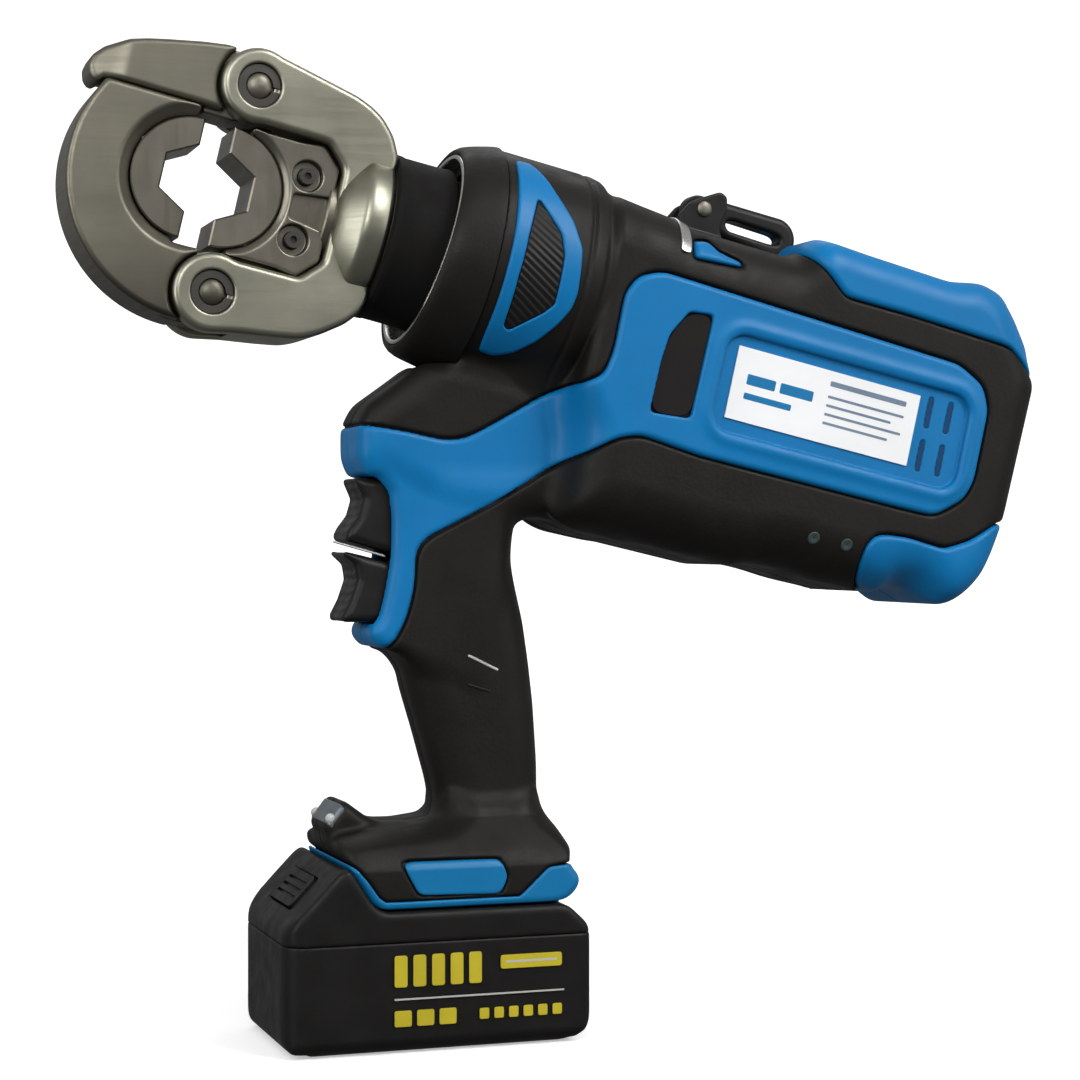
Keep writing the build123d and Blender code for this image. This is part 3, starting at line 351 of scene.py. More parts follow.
def closed(name, mesh, mat, body, replaces=(), smooth=38):
    """Welds, points the faces outwards, and shades smooth below the given angle."""
    import bmesh
    bm = bmesh.new()
    bm.from_mesh(mesh)
    bmesh.ops.remove_doubles(bm, verts=bm.verts, dist=1e-6)
    bmesh.ops.dissolve_degenerate(bm, edges=bm.edges, dist=1e-7)
    bmesh.ops.recalc_face_normals(bm, faces=bm.faces)
    for f in bm.faces:
        f.smooth = True
    for e in bm.edges:
        if len(e.link_faces) == 2 and e.calc_face_angle(0.0) > math.radians(smooth):
            e.smooth = False
    bm.to_mesh(mesh)
    bm.free()
    ob = new_object(name, mesh, mat)
    return finish_piece(ob, body, replaces)


def round_outline(pts, r, steps=5):
    """The outline with each corner turned into an arc of about radius r."""
    out, n = [], len(pts)
    for i in range(n):
        p0, p1, p2 = Vector(pts[i - 1]), Vector(pts[i]), Vector(pts[(i + 1) % n])
        a, b = (p0 - p1), (p2 - p1)
        k = min(r, a.length * 0.45, b.length * 0.45)
        s, e = p1 + a.normalized() * k, p1 + b.normalized() * k
        for t in range(steps + 1):
            w = t / steps
            q = s * (1 - w) ** 2 + p1 * 2 * w * (1 - w) + e * w ** 2
            out.append((q.x, q.y))
    return out


def plates(name, outlines, y0, y1, mat, body, replaces=(), uv=False, holes=()):
    """Flat plates given by side-view outlines, from y0 to y1 on both sides of the tool, edges eased."""
    import bmesh
    bm = bmesh.new()
    ease = min(0.25, abs(y1 - y0) * 0.4)
    for side in (-1, 1):
        for pts in outlines:
            n = len(pts)
            cx, cz = sum(p[0] for p in pts) / n, sum(p[1] for p in pts) / n
            rows = []
            for y, k in ((y0, 0.0), (y1 - ease, 0.0), (y1, ease)):
                row = []
                for a, c in pts:
                    L = math.hypot(a - cx, c - cz) or 1
                    a2, c2 = a - (a - cx) / L * k, c - (c - cz) / L * k
                    x, z = to_xz(a2, c2) if uv else (a2, c2)
                    row.append(bm.verts.new((x * MM, side * y * MM, z * MM)))
                rows.append(row)
            for lo, hi in zip(rows[:-1], rows[1:]):
                for i in range(n):
                    bm.faces.new((lo[i], lo[(i + 1) % n], hi[(i + 1) % n], hi[i]))
            bm.faces.new(rows[0])
            bm.faces.new(rows[-1])
    mesh = bpy.data.meshes.new(name)
    bm.to_mesh(mesh)
    bm.free()
    return closed(name, mesh, mat, body, replaces, 30)


# ---------------------------------------------------------------------------
# Materials
# ---------------------------------------------------------------------------
class Tree:
    def __init__(self, name):
        self.mat = bpy.data.materials.new(name)
        self.mat.use_nodes = True
        self.t = self.mat.node_tree
        self.t.nodes.clear()
        self.out = self.t.nodes.new("ShaderNodeOutputMaterial")
        self.p = self.t.nodes.new("ShaderNodeBsdfPrincipled")
        self.t.links.new(self.p.outputs[0], self.out.inputs[0])
        self.co = self.t.nodes.new("ShaderNodeTexCoord").outputs["Object"]

    def link(self, a, b):
        self.t.links.new(a, b)

    def set(self, **values):
        for k, v in values.items():
            self.p.inputs[k.replace("_", " ")].default_value = v

    def height(self):
        n = self.t.nodes.new("ShaderNodeSeparateXYZ")
        self.link(self.mapping(), n.inputs[0])
        return n.outputs[2]

    def mapping(self, scale=(1, 1, 1), rot=(0, 0, 0)):
        m = self.t.nodes.new("ShaderNodeMapping")
        m.inputs["Scale"].default_value = scale
        m.inputs["Rotation"].default_value = rot
        self.link(self.co, m.inputs["Vector"])
        return m.outputs[0]

    def noise(self, scale, detail=3.0, rough=0.55, co=None):
        n = self.t.nodes.new("ShaderNodeTexNoise")
        n.inputs["Scale"].default_value = scale
        n.inputs["Detail"].default_value = detail
        n.inputs["Roughness"].default_value = rough
        self.link(co or self.co, n.inputs["Vector"])
        return n.outputs["Fac"]

    def voronoi(self, scale, co=None, feature="F1"):
        n = self.t.nodes.new("ShaderNodeTexVoronoi")
        n.feature = feature
        n.inputs["Scale"].default_value = scale
        self.link(co or self.co, n.inputs["Vector"])
        return n.outputs["Distance"]

    def ramp(self, fac, stops):
        r = self.t.nodes.new("ShaderNodeValToRGB")
        e = r.color_ramp.elements
        while len(e) < len(stops):
            e.new(0.5)
        for el, (pos, col) in zip(e, stops):
            el.position = pos
            el.color = (*col, 1) if len(col) == 3 else col
        self.link(fac, r.inputs[0])
        return r.outputs[0]

    def range(self, fac, lo, hi, a=0.3, b=0.7):
        r = self.t.nodes.new("ShaderNodeMapRange")
        r.inputs["From Min"].default_value, r.inputs["From Max"].default_value = a, b
        r.inputs["To Min"].default_value, r.inputs["To Max"].default_value = lo, hi
        self.link(fac, r.inputs["Value"])
        return r.outputs["Result"]

    def mix(self, fac, a, b, mode="MIX"):
        m = self.t.nodes.new("ShaderNodeMix")
        m.data_type = "RGBA"
        m.blend_type = mode
        if isinstance(fac, (int, float)):
            m.inputs[0].default_value = fac
        else:
            self.link(fac, m.inputs[0])
        for sock, v in ((m.inputs[6], a), (m.inputs[7], b)):
            if isinstance(v, tuple):
                sock.default_value = (*v, 1) if len(v) == 3 else v
            else:
                self.link(v, sock)
        return m.outputs[2]

    def add(self, a, b, k):
        m = self.t.nodes.new("ShaderNodeMath")
        m.operation = "MULTIPLY_ADD"
        self.link(b, m.inputs[0])
        m.inputs[1].default_value = k
        self.link(a, m.inputs[2])
        return m.outputs[0]

    def bump(self, height, strength, distance):
        b = self.t.nodes.new("ShaderNodeBump")
        b.inputs["Strength"].default_value = strength
        b.inputs["Distance"].default_value = distance
        self.link(height, b.inputs["Height"])
        self.link(b.outputs[0], self.p.inputs["Normal"])

    def color(self, sock):
        self.link(sock, self.p.inputs["Base Color"])

    def rough(self, sock):
        self.link(sock, self.p.inputs["Roughness"])


def shade(c, k):
    return tuple(min(1.0, x * k) for x in c)


def plastic(name, base, rough=0.42, spread=0.08, var=0.08, spec=0.4, grain=900.0, depth=0.00006, strength=0.25):
    """Moulded plastic: faint cloudiness, fine spark-eroded grain, uneven gloss."""
    m = Tree(name)
    cloud = m.noise(38.0, 4.0)
    m.color(m.ramp(cloud, [(0.3, shade(base, 1 - var)), (0.7, shade(base, 1 + var))]))
    m.rough(m.range(m.noise(120.0, 5.0), rough - spread, rough + spread))
    m.bump(m.add(m.noise(grain, 2.0), m.noise(grain * 0.35, 3.0), 0.5), strength, depth)
    m.set(Specular_IOR_Level=spec)
    return m.mat


def rubber(name, base, rough=0.6, spec=0.22, cell=700.0, depth=0.00012, strength=0.35):
    """Soft overmould: pebbled grain, dusty variation."""
    m = Tree(name)
    dust = m.noise(55.0, 6.0, 0.65)
    m.color(m.ramp(dust, [(0.32, shade(base, 0.82)), (0.62, base), (0.8, shade(base, 1.35))]))
    m.rough(m.range(m.noise(90.0, 4.0), rough - 0.1, rough + 0.1))
    m.bump(m.add(m.voronoi(cell), m.noise(cell * 1.7, 2.0), 0.6), strength, depth)
    m.set(Specular_IOR_Level=spec)
    return m.mat


def steel(name, base, rough=0.36, spread=0.08, streak=(30.0, 30.0, 700.0), pits=0.25, depth=0.00005, tint=0.16, painted_shade_below=None):
    """Forged and ground steel: grinding streaks, stains, small pits; a given pair of heights paints shade, darkening it
    below the first height.
    """
    m = Tree(name)
    lines = m.noise(1.0, 6.0, 0.6, m.mapping(streak, (0, TILT, 0)))
    stain = m.noise(42.0, 6.0, 0.6)
    c = m.ramp(stain, [(0.28, shade(base, 1 - tint)), (0.55, base), (0.78, shade(base, 1 + tint))])
    c = m.mix(m.range(lines, 0.0, 0.45), c, shade(base, 0.72))
    # painted shade: the steel is darkened to about half below the first height, fading out by the second
    if painted_shade_below:
        c = m.mix(m.range(m.height(), 0.5, 0.0, painted_shade_below[0], painted_shade_below[1]), c, shade(base, 0.05))
    m.color(c)
    m.rough(m.range(m.add(lines, stain, 0.6), rough - spread, rough + spread, 0.5, 1.1))
    pit = m.range(m.voronoi(420.0), 0.0, 1.0, 0.0, 0.25)
    m.bump(m.add(m.add(lines, pit, pits), m.noise(260.0, 4.0), 0.5), 0.22, depth)
    m.set(Metallic=1.0)
    return m.mat


def metal(name, base, rough=0.25, scale=300.0):
    m = Tree(name)
    n = m.noise(scale, 4.0)
    m.color(m.ramp(n, [(0.3, shade(base, 0.9)), (0.7, shade(base, 1.08))]))
    m.rough(m.range(m.noise(scale * 0.4, 5.0), rough - 0.07, rough + 0.08))
    m.bump(n, 0.08, 0.00003)
    m.set(Metallic=1.0)
    return m.mat


BLUE = plastic("blue_plastic", (0.0022, 0.158, 0.40), 0.4, 0.07, 0.05, 0.22, 800.0, 0.00005, 0.16)
# dark blue for the plates at the vent floors: painted shade in the slots
VENT_SHADE = plastic("vent_painted_shade", (0.003, 0.045, 0.13), 0.5, 0.07, 0.08, 0.2, 800.0, 0.00005, 0.16)
BLACK = rubber("black_overmould", (0.0092, 0.0084, 0.0072), 0.5, 0.19)
BLACK_P = plastic("black_plastic", (0.0088, 0.0084, 0.0080), 0.4, 0.1, 0.14, 0.24, 700.0, 0.00008, 0.3)
PACK = plastic("pack_plastic", (0.0078, 0.0074, 0.0069), 0.42, 0.1, 0.12, 0.2, 620.0, 0.00009, 0.3)
SLEEVE = rubber("sleeve_rubber", (0.0095, 0.0092, 0.0086), 0.66, 0.08, 900.0, 0.00008, 0.25)
# painted shade on forged steel below 266 mm height, fading out by 294 mm
STEEL = steel("forged_steel", (0.198, 0.187, 0.149), 0.42, painted_shade_below=(0.266, 0.294))
STEEL_FORK = steel("fork_steel", (0.335, 0.331, 0.264), 0.36)
STEEL_DIE = steel("die_steel", (0.215, 0.2, 0.165), 0.33, 0.08, (500.0, 40.0, 40.0))
STEEL_DARK = steel("pin_steel", (0.11, 0.105, 0.095), 0.34)
CHROME = metal("bright_metal", (0.82, 0.82, 0.81), 0.14)
RING = metal("ring_metal", (0.62, 0.62, 0.60), 0.24)
WIRE = metal("spring_steel", (0.42, 0.42, 0.42), 0.3)
GEAR = metal("gear_steel", (0.36, 0.36, 0.36), 0.32, 500.0)
ALU = metal("aluminium", (0.62, 0.62, 0.63), 0.36, 260.0)
BRONZE = metal("bronze", (0.52, 0.36, 0.17), 0.36, 350.0)
COPPER = metal("copper", (0.56, 0.26, 0.12), 0.33, 800.0)
WINDOW = plastic("smoked_window", (0.010, 0.0075, 0.0075), 0.16, 0.05, 0.2, 0.35, 300.0, 0.00002, 0.1)
WHITE = plastic("white_plate", (0.84, 0.85, 0.86), 0.34, 0.06, 0.03, 0.45, 500.0, 0.00003, 0.1)
YELLOW = plastic("yellow_print", (0.50, 0.41, 0.022), 0.45, 0.06, 0.12, 0.3, 600.0, 0.00003, 0.1)
# pale grey: print on the pack, a mark on the grip, and the painted highlights of the trigger strip and the lamp
PALE_PRINT_AND_HIGHLIGHT = plastic("pale_print_and_painted_highlight", (0.45, 0.45, 0.43), 0.45, 0.06, 0.08, 0.3, 600.0, 0.00003, 0.1)
RULE = plastic("grey_print", (0.16, 0.22, 0.30), 0.4, 0.06, 0.1, 0.3, 600.0, 0.00002, 0.1)
# grey-teal of the flank plugs: a painted dim highlight on dark plugs
CAP_PAINTED_HIGHLIGHT = plastic("cap_painted_highlight", (0.04, 0.058, 0.058), 0.42, 0.06, 0.1, 0.3, 600.0, 0.00003, 0.1)
TEAL = plastic("blue_edge", (0.003, 0.158, 0.37), 0.38, 0.07, 0.06, 0.3, 800.0, 0.00005, 0.16)
BOARD = plastic("board_green", (0.02, 0.14, 0.06), 0.4)
WRAP = plastic("cell_wrap", (0.06, 0.24, 0.14), 0.3)
LEAD = rubber("lead_rubber", (0.32, 0.02, 0.015), 0.5)
SEAL = rubber("seal_rubber", (0.03, 0.03, 0.03), 0.5)


def lens_material():
    m = Tree("lens")
    c = m.noise(300.0, 3.0)
    m.color(m.ramp(c, [(0.3, (0.055, 0.07, 0.085)), (0.7, (0.10, 0.125, 0.145))]))
    m.rough(m.range(m.noise(500.0, 2.0), 0.06, 0.16))
    m.bump(m.voronoi(420.0), 0.25, 0.0002)
    m.set(Specular_IOR_Level=0.6)
    return m.mat


LENS = lens_material()

# ---------------------------------------------------------------------------
# Outer form of the housing, shared by the blue and the black mouldings
# ---------------------------------------------------------------------------
BODY = [(96, -30), (132, -48), (146, -62), (150, -90), (226, -90), (232, -87.9), (238.6, -86.9), (245, -86.7), (251, -86.9), (257.6, -87.4),
        (264, -87.6), (277, -87.4), (284, -88.0), (288.2, -87.0), (291.6, -83.6), (295, -82.4), (301, -82.6), (306, -84.4),
        (311, -86.1), (315, -85.8), (319.5, -83.0), (324, -78.4), (328.4, -71.4), (330.0, -66), (331.2, -61), (332.2, -55), (333.6, -46), (334.9, 8), (331.3, 22), (322.5, 33.5), (314.5, 41.5),
        (304, 42), (289, 38.6), (250, 39.6), (229.2, 40.6), (223.8, 31.5), (180, 31.5), (172, 33.6), (160, 34.6), (146, 36),
        (96, 36.5)]
WEB = [(4.0, 250.6), (-7.6, 242.2), (-20.2, 234.1), (-23.9, 228), (-23.9, 215), (10, 196), (40, 194), (75, 188),
       (75, 262), (40, 290)]
FRAME_SIDE = [(-20.6, 234.5), (-24.5, 226), (-24.5, 214), (-22.8, 208.5), (-18.2, 208), (-13.6, 202.5), (-12.5, 192),
              (-13, 177.5), (-15.3, 165), (-17.6, 156), (-20.6, 153.2), (-21.4, 149.4), (-18, 145.2), (-11.5, 143.4),
              (-5.0, 140.4), (20, 130), (28, 165), (30, 190), (50, 215), (40, 240), (0, 250)]
GRIP = [(-7.3, 142), (-4.2, 128.6), (0.4, 113.5), (5.7, 94.5), (7.2, 86), (7.6, 70), (46, 70), (46.2, 86.5),
        (46.1, 100.8), (44.6, 123.7), (42.8, 139), (40.6, 154), (37.0, 169.6), (35.8, 177), (36.2, 184),
        (37.4, 192), (62, 215), (0, 215)]
FOOT = [(8.0, 95), (7.8, 84.4), (5.4, 81.4), (-4, 80.0), (-20, 78.8), (-33, 76.8), (-36.3, 74.6), (-32, 65.2),
        (-25, 54), (-21.2, 51.3), (42, 51.3), (47.6, 51.9), (51.8, 54.6), (54.2, 58.6), (53.2, 61.8), (50.4, 64.2), (50.8, 67), (52.5, 70.4), (49.7, 78), (47.0, 82.4),
        (45.4, 88), (45, 95)]
LAMP = [(-2, 76), (-6.9, 79.6), (-15, 80.4), (-20.7, 82.6), (-25.6, 86.2), (-30.3, 89.7), (-38.0, 80.0), (-35.6, 75),
        (-28, 68)]
FOOT_FRONT = [(-36, 50), (36, 50), (36, 66), (23, 83), (18.5, 97), (-18.5, 97), (-23, 83), (-36, 66)]
NOSE_U = [100, 141, 145, 148.5, 152, 160, 180]
NOSE_R = [42.0, 42.0, 41.3, 38.6, 36.6, 34.8, 32.0]


def lamp_form(g):
    return rmax(f3(g.poly(LAMP, False, 0.6)), np.abs(g.Y) - 13.5, 4.5)


def crown(U, V):
    """How much fuller the nose is on top than a true turning."""
    return 1.6 * step(V, 8.0, 40.0) * (1 - step(U, 150.0, 166.0))


def outer_form(g):
    Y = np.abs(g.Y)
    U, V, Z = f3(g.U), f3(g.V), f3(g.Z)
    rad = np.sqrt(V * V + Y * Y)
    edge = 21.0 - 9.0 * step(V, 2.0, 24.0) * step(U, 214.0, 240.0) * (1 - step(U, 296.0, 318.0))
    edge = edge - 6.5 * step(U, 296.0, 320.0) * (1 - step(V, 4.0, 20.0))
    body = rmax(f3(g.poly(BODY, True, 1.8)), Y - 40.0, edge)
    lip = 4.0 + 14.0 * step(-V, 30.0, 55.0)
    body = rmax(body, 147.0 - U, lip)
    groove = 0.9 * np.exp(-((U - 139.0) / 0.8) ** 2)
    nose = rad - np.interp(g.U, NOSE_U, NOSE_R)[:, :, None].astype(np.float32) - crown(U, V) + groove
    nose = np.maximum(nose, U - 178.0)
    nose = rmax(nose, 104.1 - U, 0.3)
    hand = rmin(rmax(f3(g.poly(WEB, False, 2.0)), Y - 19.0, 9.0), rmax(f3(g.poly(FRAME_SIDE, False, 1.4)), Y - 17.5, 5.0), 4.0)
    hand = rmin(hand, rmax(f3(g.poly(GRIP, False, 2.0)), Y - 18.5, 14.0), 6.0)
    F = rmin(rmin(body, nose, 2.5), hand, 2.0 + 8.0 * step(Y, 13.0, 20.0) * step(U, 118.0, 138.0))
    F = np.maximum(F, -np.maximum(np.sqrt((V / 1.03) ** 2 + Y * Y) - 43.3, U - 104.1))
    zz, yy = np.meshgrid(g.c, np.abs(g.y), indexing="ij")
    front = sd_poly(yy, zz, FOOT_FRONT)[None, :, :]
    foot = rmax(rmax(f3(g.poly(FOOT, False, 1.2)), Y - 36.0, 3.0), front, 4.0 + 9.0 * step(Z, 66.0, 90.0))
    foot = rmin(foot, lamp_form(g), 2.5)
    return rmin(F, foot, 2.6).astype(np.float32)


# blue fields of the side view
PANEL_BLUE = ([to_xz(u, v) for u, v in [(155.5, -24), (155, -2), (159, 5.5), (168, 9.5), (296, 6.5), (308, 1),
                                        (312.5, -8), (312.5, -37), (309.5, -45), (298.5, -54), (283, -54.3),
                                        (198, -54.5), (173, -52.5), (164, -56)]]
              + [(47, 211), (26, 198.5), (0.3, 185.5), (-3.5, 181), (-4.3, 166.4), (-7.3, 155.5), (-11.6, 147.6),
                 (-17, 141.4), (-40, 141), (-40, 228.5), (-26, 227.8), (-8, 225), (7, 222), (14.5, 223), (22, 226.7),
                 (45, 239.5)]
              + [to_xz(153.7, -34)])
TOP_BLUE = [to_xz(u, v) for u, v in [(226.5, 60), (224, 34), (243, 19), (271, 19.2), (317, 18.1), (329, 11),
                                     (345, 4), (345, 60)]]
TAIL_BLUE = [to_xz(u, v) for u, v in [(292, -100), (288, -88.0), (281, -86.8), (276.5, -85.0), (274, -82.2), (272.6, -77), (272.4, -71.5), (275, -66.6), (280, -65), (290, -64), (305.4, -64.8),
                                      (315.4, -59.3), (325, -51), (345, -43), (345, -100)]]
LOOP_BLUE = [to_xz(u, v) for u, v in [(179.2, 17.2), (179.2, 25), (186, 27.2), (190, 23.4), (200, 21.6), (200.5, 19)]]
FOOT_BLUE = [(-14.8, 68.7), (23.2, 68.5), (26.2, 62), (23.2, 55.4), (-8, 56.2)]
HEEL_BLUE = [(26.5, 51.0), (29, 53.6), (32, 56), (41.6, 64.8), (49.5, 65.5), (62, 65), (62, 48), (26.5, 48)]
EDGE_LINE = [(-41.0, 69.4), (-36.6, 68.6), (-32.4, 65.0), (-25.0, 54.0), (-21.2, 51.3), (40, 51.3)]


def blue_fields(g):
    f = np.minimum(blur(g.poly(PANEL_BLUE, False), 2.2 / g.h), g.poly(TOP_BLUE, False, 1.6))
    f = np.minimum(f, g.poly(TAIL_BLUE, False, 1.6))
    f = np.minimum(f, g.poly(LOOP_BLUE, False, 0.8))
    f = np.minimum(f, g.poly(FOOT_BLUE, False, 1.2))
    f = np.minimum(f, g.poly(HEEL_BLUE, False, 0.8))
    return np.minimum(f, sd_line(g.X, g.Z, EDGE_LINE) - 3.3 + 1.3 * step(-g.X, 24.0, 36.0))


SCREWS = [to_xz(316, 26), to_xz(318, -73), to_xz(242, 29.5), to_xz(168, -84), (34, 146), (36, 98), (-13, 71),
          (44.5, 71.5), (-15, 221)]


def voids(g):
    """Space for the pack's rails, the triggers and the contacts."""
    X, Z, Y = f3(g.X), f3(g.Z), np.abs(g.Y)
    rail = np.minimum(np.maximum(Y - 22.4, Z - 58.5), np.maximum(Y - 27.4, np.abs(Z - 56.1) - 2.4))
    rail = np.maximum(rail, X - 50.6)
    trig = np.maximum(np.maximum(np.abs(X + 22.75) - 22.25, np.abs(Z - 181.0) - 27.2), Y - 13.0)
    term = np.maximum(np.maximum(np.abs(X - 23.0) - 15.0, Y - 16.0), np.abs(Z - 60.0) - 5.0)
    return np.minimum(np.minimum(rail, trig), term)


def screw_field(g):
    d = np.full(g.X.shape, 1e6, np.float32)
    for x, z in SCREWS:
        d = np.minimum(d, np.hypot(g.X - x, g.Z - z))
    return f3(d)


def with_screws(F, g, outer):
    d = screw_field(g)
    F = np.minimum(F, np.maximum(d - 5.3, outer + 0.8))
    return np.maximum(F, -np.maximum(d - 4.2, 10.0 - g.Y))


PART = 0.12     # half the gap between the two housing halves
WINDOW_UV = [(181.7, -3), (191.3, -1.8), (190.8, -41.4), (174.5, -43), (174.8, -23), (176, -13)]
VENTS = [(u, v) for u in (287.6, 296.3) for v in (-15.3, -32.3)]


def black_shell():
    g = Grid((-43.5, 48.5, -2.0), (252.0, 335.5, 43.5), 0.85)
    outer = outer_form(g)
    field = f3(blue_fields(g))
    Y = g.Y
    cavity = np.maximum(outer + 3.4, 61.5 - f3(g.Z))
    F = np.maximum(outer, -cavity)
    pocket = np.maximum(field - 0.3, -(outer + 2.0))
    F = rmax(F, -pocket, 0.9)
    F = np.maximum(F, -voids(g))
    F = np.maximum(F, PART - Y)
    form("shell_black_left", g, F.copy(), BLACK, "tool", ("overmould_left",), True, 170000)
    F = with_screws(F, g, outer)
    F = np.maximum(F, PART - Y)
    form("shell_black_right", g, F, BLACK, "tool", ("overmould_right",), False, 170000)


def blue_shell():
    g = Grid((-31.5, 138.5, -2.0), (252.0, 322.5, 43.0), 0.66)
    outer = outer_form(g)
    field = f3(blue_fields(g))
    Y = g.Y
    rect = f3(sd_rrect(g.U, g.V, 251.5, -24.25, 105.0, 37.5, 8.0))
    lift = (0.7 + 0.9 * np.exp(-((rect - 2.8) / 2.4) ** 2)) * step(Y, 30.0, 39.0)
    skin = outer - lift
    F = rmax(skin, field + 0.3, 2.2)
    # recess round the plate, with a soft lip
    recess = np.maximum(rect, 38.8 - Y)
    F = rmax(F, -recess, 1.1)
    window = np.maximum(f3(g.poly(WINDOW_UV, True, 0.8)) - 0.2, 37.9 - Y)
    F = rmax(F, -window, 0.7)
    vents = np.full(g.X.shape, 1e6, np.float32)
    for u, v in VENTS:
        vents = np.minimum(vents, np.hypot(g.U - u, np.maximum(np.abs(g.V - v) - 5.2, 0)) - 1.05)
    F = np.maximum(F, -np.maximum(f3(vents), 38.05 - Y))
    F = np.maximum(F, -(outer + 2.0))
    F = np.maximum(F, -voids(g))
    F = np.maximum(F, PART - Y)
    form("shell_blue_left", g, F.copy(), BLUE, "tool", ("housing_left",), True, 170000)
    F = np.maximum(F, -np.maximum(screw_field(g) - 4.2, 10.0 - Y))
    form("shell_blue_right", g, F, BLUE, "tool", ("housing_right",), False, 170000)


def foot_trim():
    g = Grid((-43.5, 48.5, -2.0), (57.0, 91.5, 38.5), 0.55)
    outer = outer_form(g)
    field = f3(blue_fields(g))
    Y = g.Y
    F = rmax(outer - 0.25, field + 0.25, 0.9)
    F = np.maximum(F, -(outer + 1.9))
    F = np.maximum(np.maximum(F, -voids(g)), PART - Y)
    form_lens = lens_form(g)
    F = np.maximum(F, -(form_lens - 0.2))
    form("foot_blue_left", g, F.copy(), TEAL, "tool", (), True, 60000)
    form("foot_blue_right", g, F, TEAL, "tool", (), False, 60000)
    g = Grid((-39.0, 74.0, -13.0), (-26.0, 92.0, 13.0), 0.3)
    form("lamp_lens", g, lens_form(g), LENS, "tool", ("work_light",), False, 24000)
    X, Z, Y = f3(g.X), f3(g.Z), np.abs(g.Y)
    # one pale bead on each side of the lamp's face: a painted highlight spot on the lens
    bead = np.sqrt((X + 35.1) ** 2 + (Z - 82.7) ** 2 + (Y - 11.0) ** 2) - 1.9
    form("lamp_beads_painted_highlight", g, bead, PALE_PRINT_AND_HIGHLIGHT, "tool", (), False, 6000)


def lens_form(g):
    """Window of the work light: the sloping face of its block, carried round both corners."""
    X, Z = f3(g.X), f3(g.Z)
    block = lamp_form(g)
    ds = (X + 34.4) * -0.590 + (Z - 85.25) * -0.807
    face = rmax(np.abs(ds - 0.5) - 4.4, X + 30.2, 1.0)
    return rmax(np.maximum(block - 0.3, -(block + 1.6)), face, 0.5)


# ---------------------------------------------------------------------------
# Crimp head
# ---------------------------------------------------------------------------
ARM = [(10, 52.0), (22, 49.9), (46, 45.2), (52, 43.0), (57.2, 40.0), (62.4, 34.6), (66, 27.5), (66, 0), (47, 0),
       (47, 17.5), (39.5, 25.3), (10, 25.3)]
ARM_LOW = [(10, -53.2), (22, -50.7), (35, -48.8), (44, -47.2), (48, -45.6), (52, -43.4), (60, -37.4), (64.5, -32), (66, -27), (66, 0),
           (47, 0), (47, -17.5), (39.5, -25.3), (10, -25.3)]
PINS = [(10.0, 38.5), (10.0, -38.5)]


def yoke_piece():
    g = Grid((-7.5, -57.0, -20.0), (69.0, 57.0, 20.0), 0.55, True)
    U, V, Y = f3(g.U), f3(g.V), np.abs(g.Y)
    f = np.minimum(g.poly(ARM, True), g.poly(ARM_LOW, True))
    ears = np.full(g.U.shape, 1e6, np.float32)
    for pu, pv in PINS:
        ears = np.minimum(ears, np.hypot(g.U - pu, g.V - pv) - (13.8 if pv > 0 else 14.4))
    f = blur(np.minimum(f, ears), 1.1 / g.h)
    F = rmax(f3(f), Y - 18.0, 2.4)
    for pu, pv in PINS:
        d = f3(np.hypot(g.U - pu, g.V - pv))
        F = rmax(F, -np.maximum(d - 16.0, Y - 9.2), 0.6)
        F = np.maximum(F, -(d - 5.5))
        F = rmax(F, -np.maximum(d - 8.0, 15.2 - Y), 0.7)
    g2 = np.maximum(np.sqrt(V * V + Y * Y) - 17.1, 40.0 - U)
    F = np.maximum(F, -g2)
    form("fork", g, F, STEEL_FORK, "head", ("yoke",), False, 150000)


def hub_piece():
    prof = [(47.4, 17.2), (47.5, 18.4), (48.1, 20.0), (49.3, 21.7), (51.0, 23.6), (55.0, 27.6), (55.9, 28.4), (57.0, 28.9),
            (58.4, 29.0), (63.8, 28.9), (65.2, 28.2), (66.0, 26.8), (66.0, 24.4), (79.8, 24.4), (79.8, 17.2)]
    lathe("fork_hub", prof, STEEL_FORK, "head")


def jaw_piece():
    g = Grid((-53.0, -57.0, -16.5), (24.5, 28.5, 16.5), 0.5, True)
    U, V, Y = g.U, g.V, np.abs(g.Y)
    f = np.hypot(U, V + 0.3) - 50.5
    f = np.minimum(f, g.poly([(-46.2, 16), (-45.6, 20.5), (-43.2, 26.5), (-35, 26.5), (-35, 16)], True))
    f = np.maximum(f, V - 26.5)
    rd = np.hypot(U + 5.5, V)
    f = np.maximum(f, 22.25 - rd)
    f = np.maximum(f, np.minimum(U + 8.0, V + 24.2))
    f = blur(f, 0.7 / g.h)
    rp = np.hypot(U - 10.0, V + 38.5)
    f = np.maximum(f, 15.0 - rp)
    f = np.maximum(f, np.minimum(U - 2.5, -V))
    F = rmax(f3(f), Y - 15.0, 2.1)
    cone = f3(rd) - (22.25 + 1.25 * np.maximum(Y - 11.2, 0.0))
    F = rmax(F, -cone * 0.62, 0.5)
    tongue = np.minimum(rp - 12.3, g.poly([(-18, -25.6), (-5, -24.6), (4, -24.6), (10, -25.8), (10, -50.8), (-3, -51), (-18, -47)], True))
    F = rmin(F, rmax(f3(tongue), Y - 8.9, 0.9), 0.8)
    F = np.maximum(F, -(f3(rp) - 5.55))
    form("jaw_forging", g, F, STEEL, "jaw", ("jaw",), False, 150000)


LATCH = [(-45.2, 25.2), (-43.9, 26.95), (0, 26.95), (0, 50.9), (-4, 50.7),
         (-12.3, 49.3), (-24.6, 46.5), (-32, 44.6), (-38, 42.6), (-45.8, 38.0), (-49.2, 34.2), (-50.1, 30.4),
         (-49.0, 26.8), (-47.0, 25.2)]


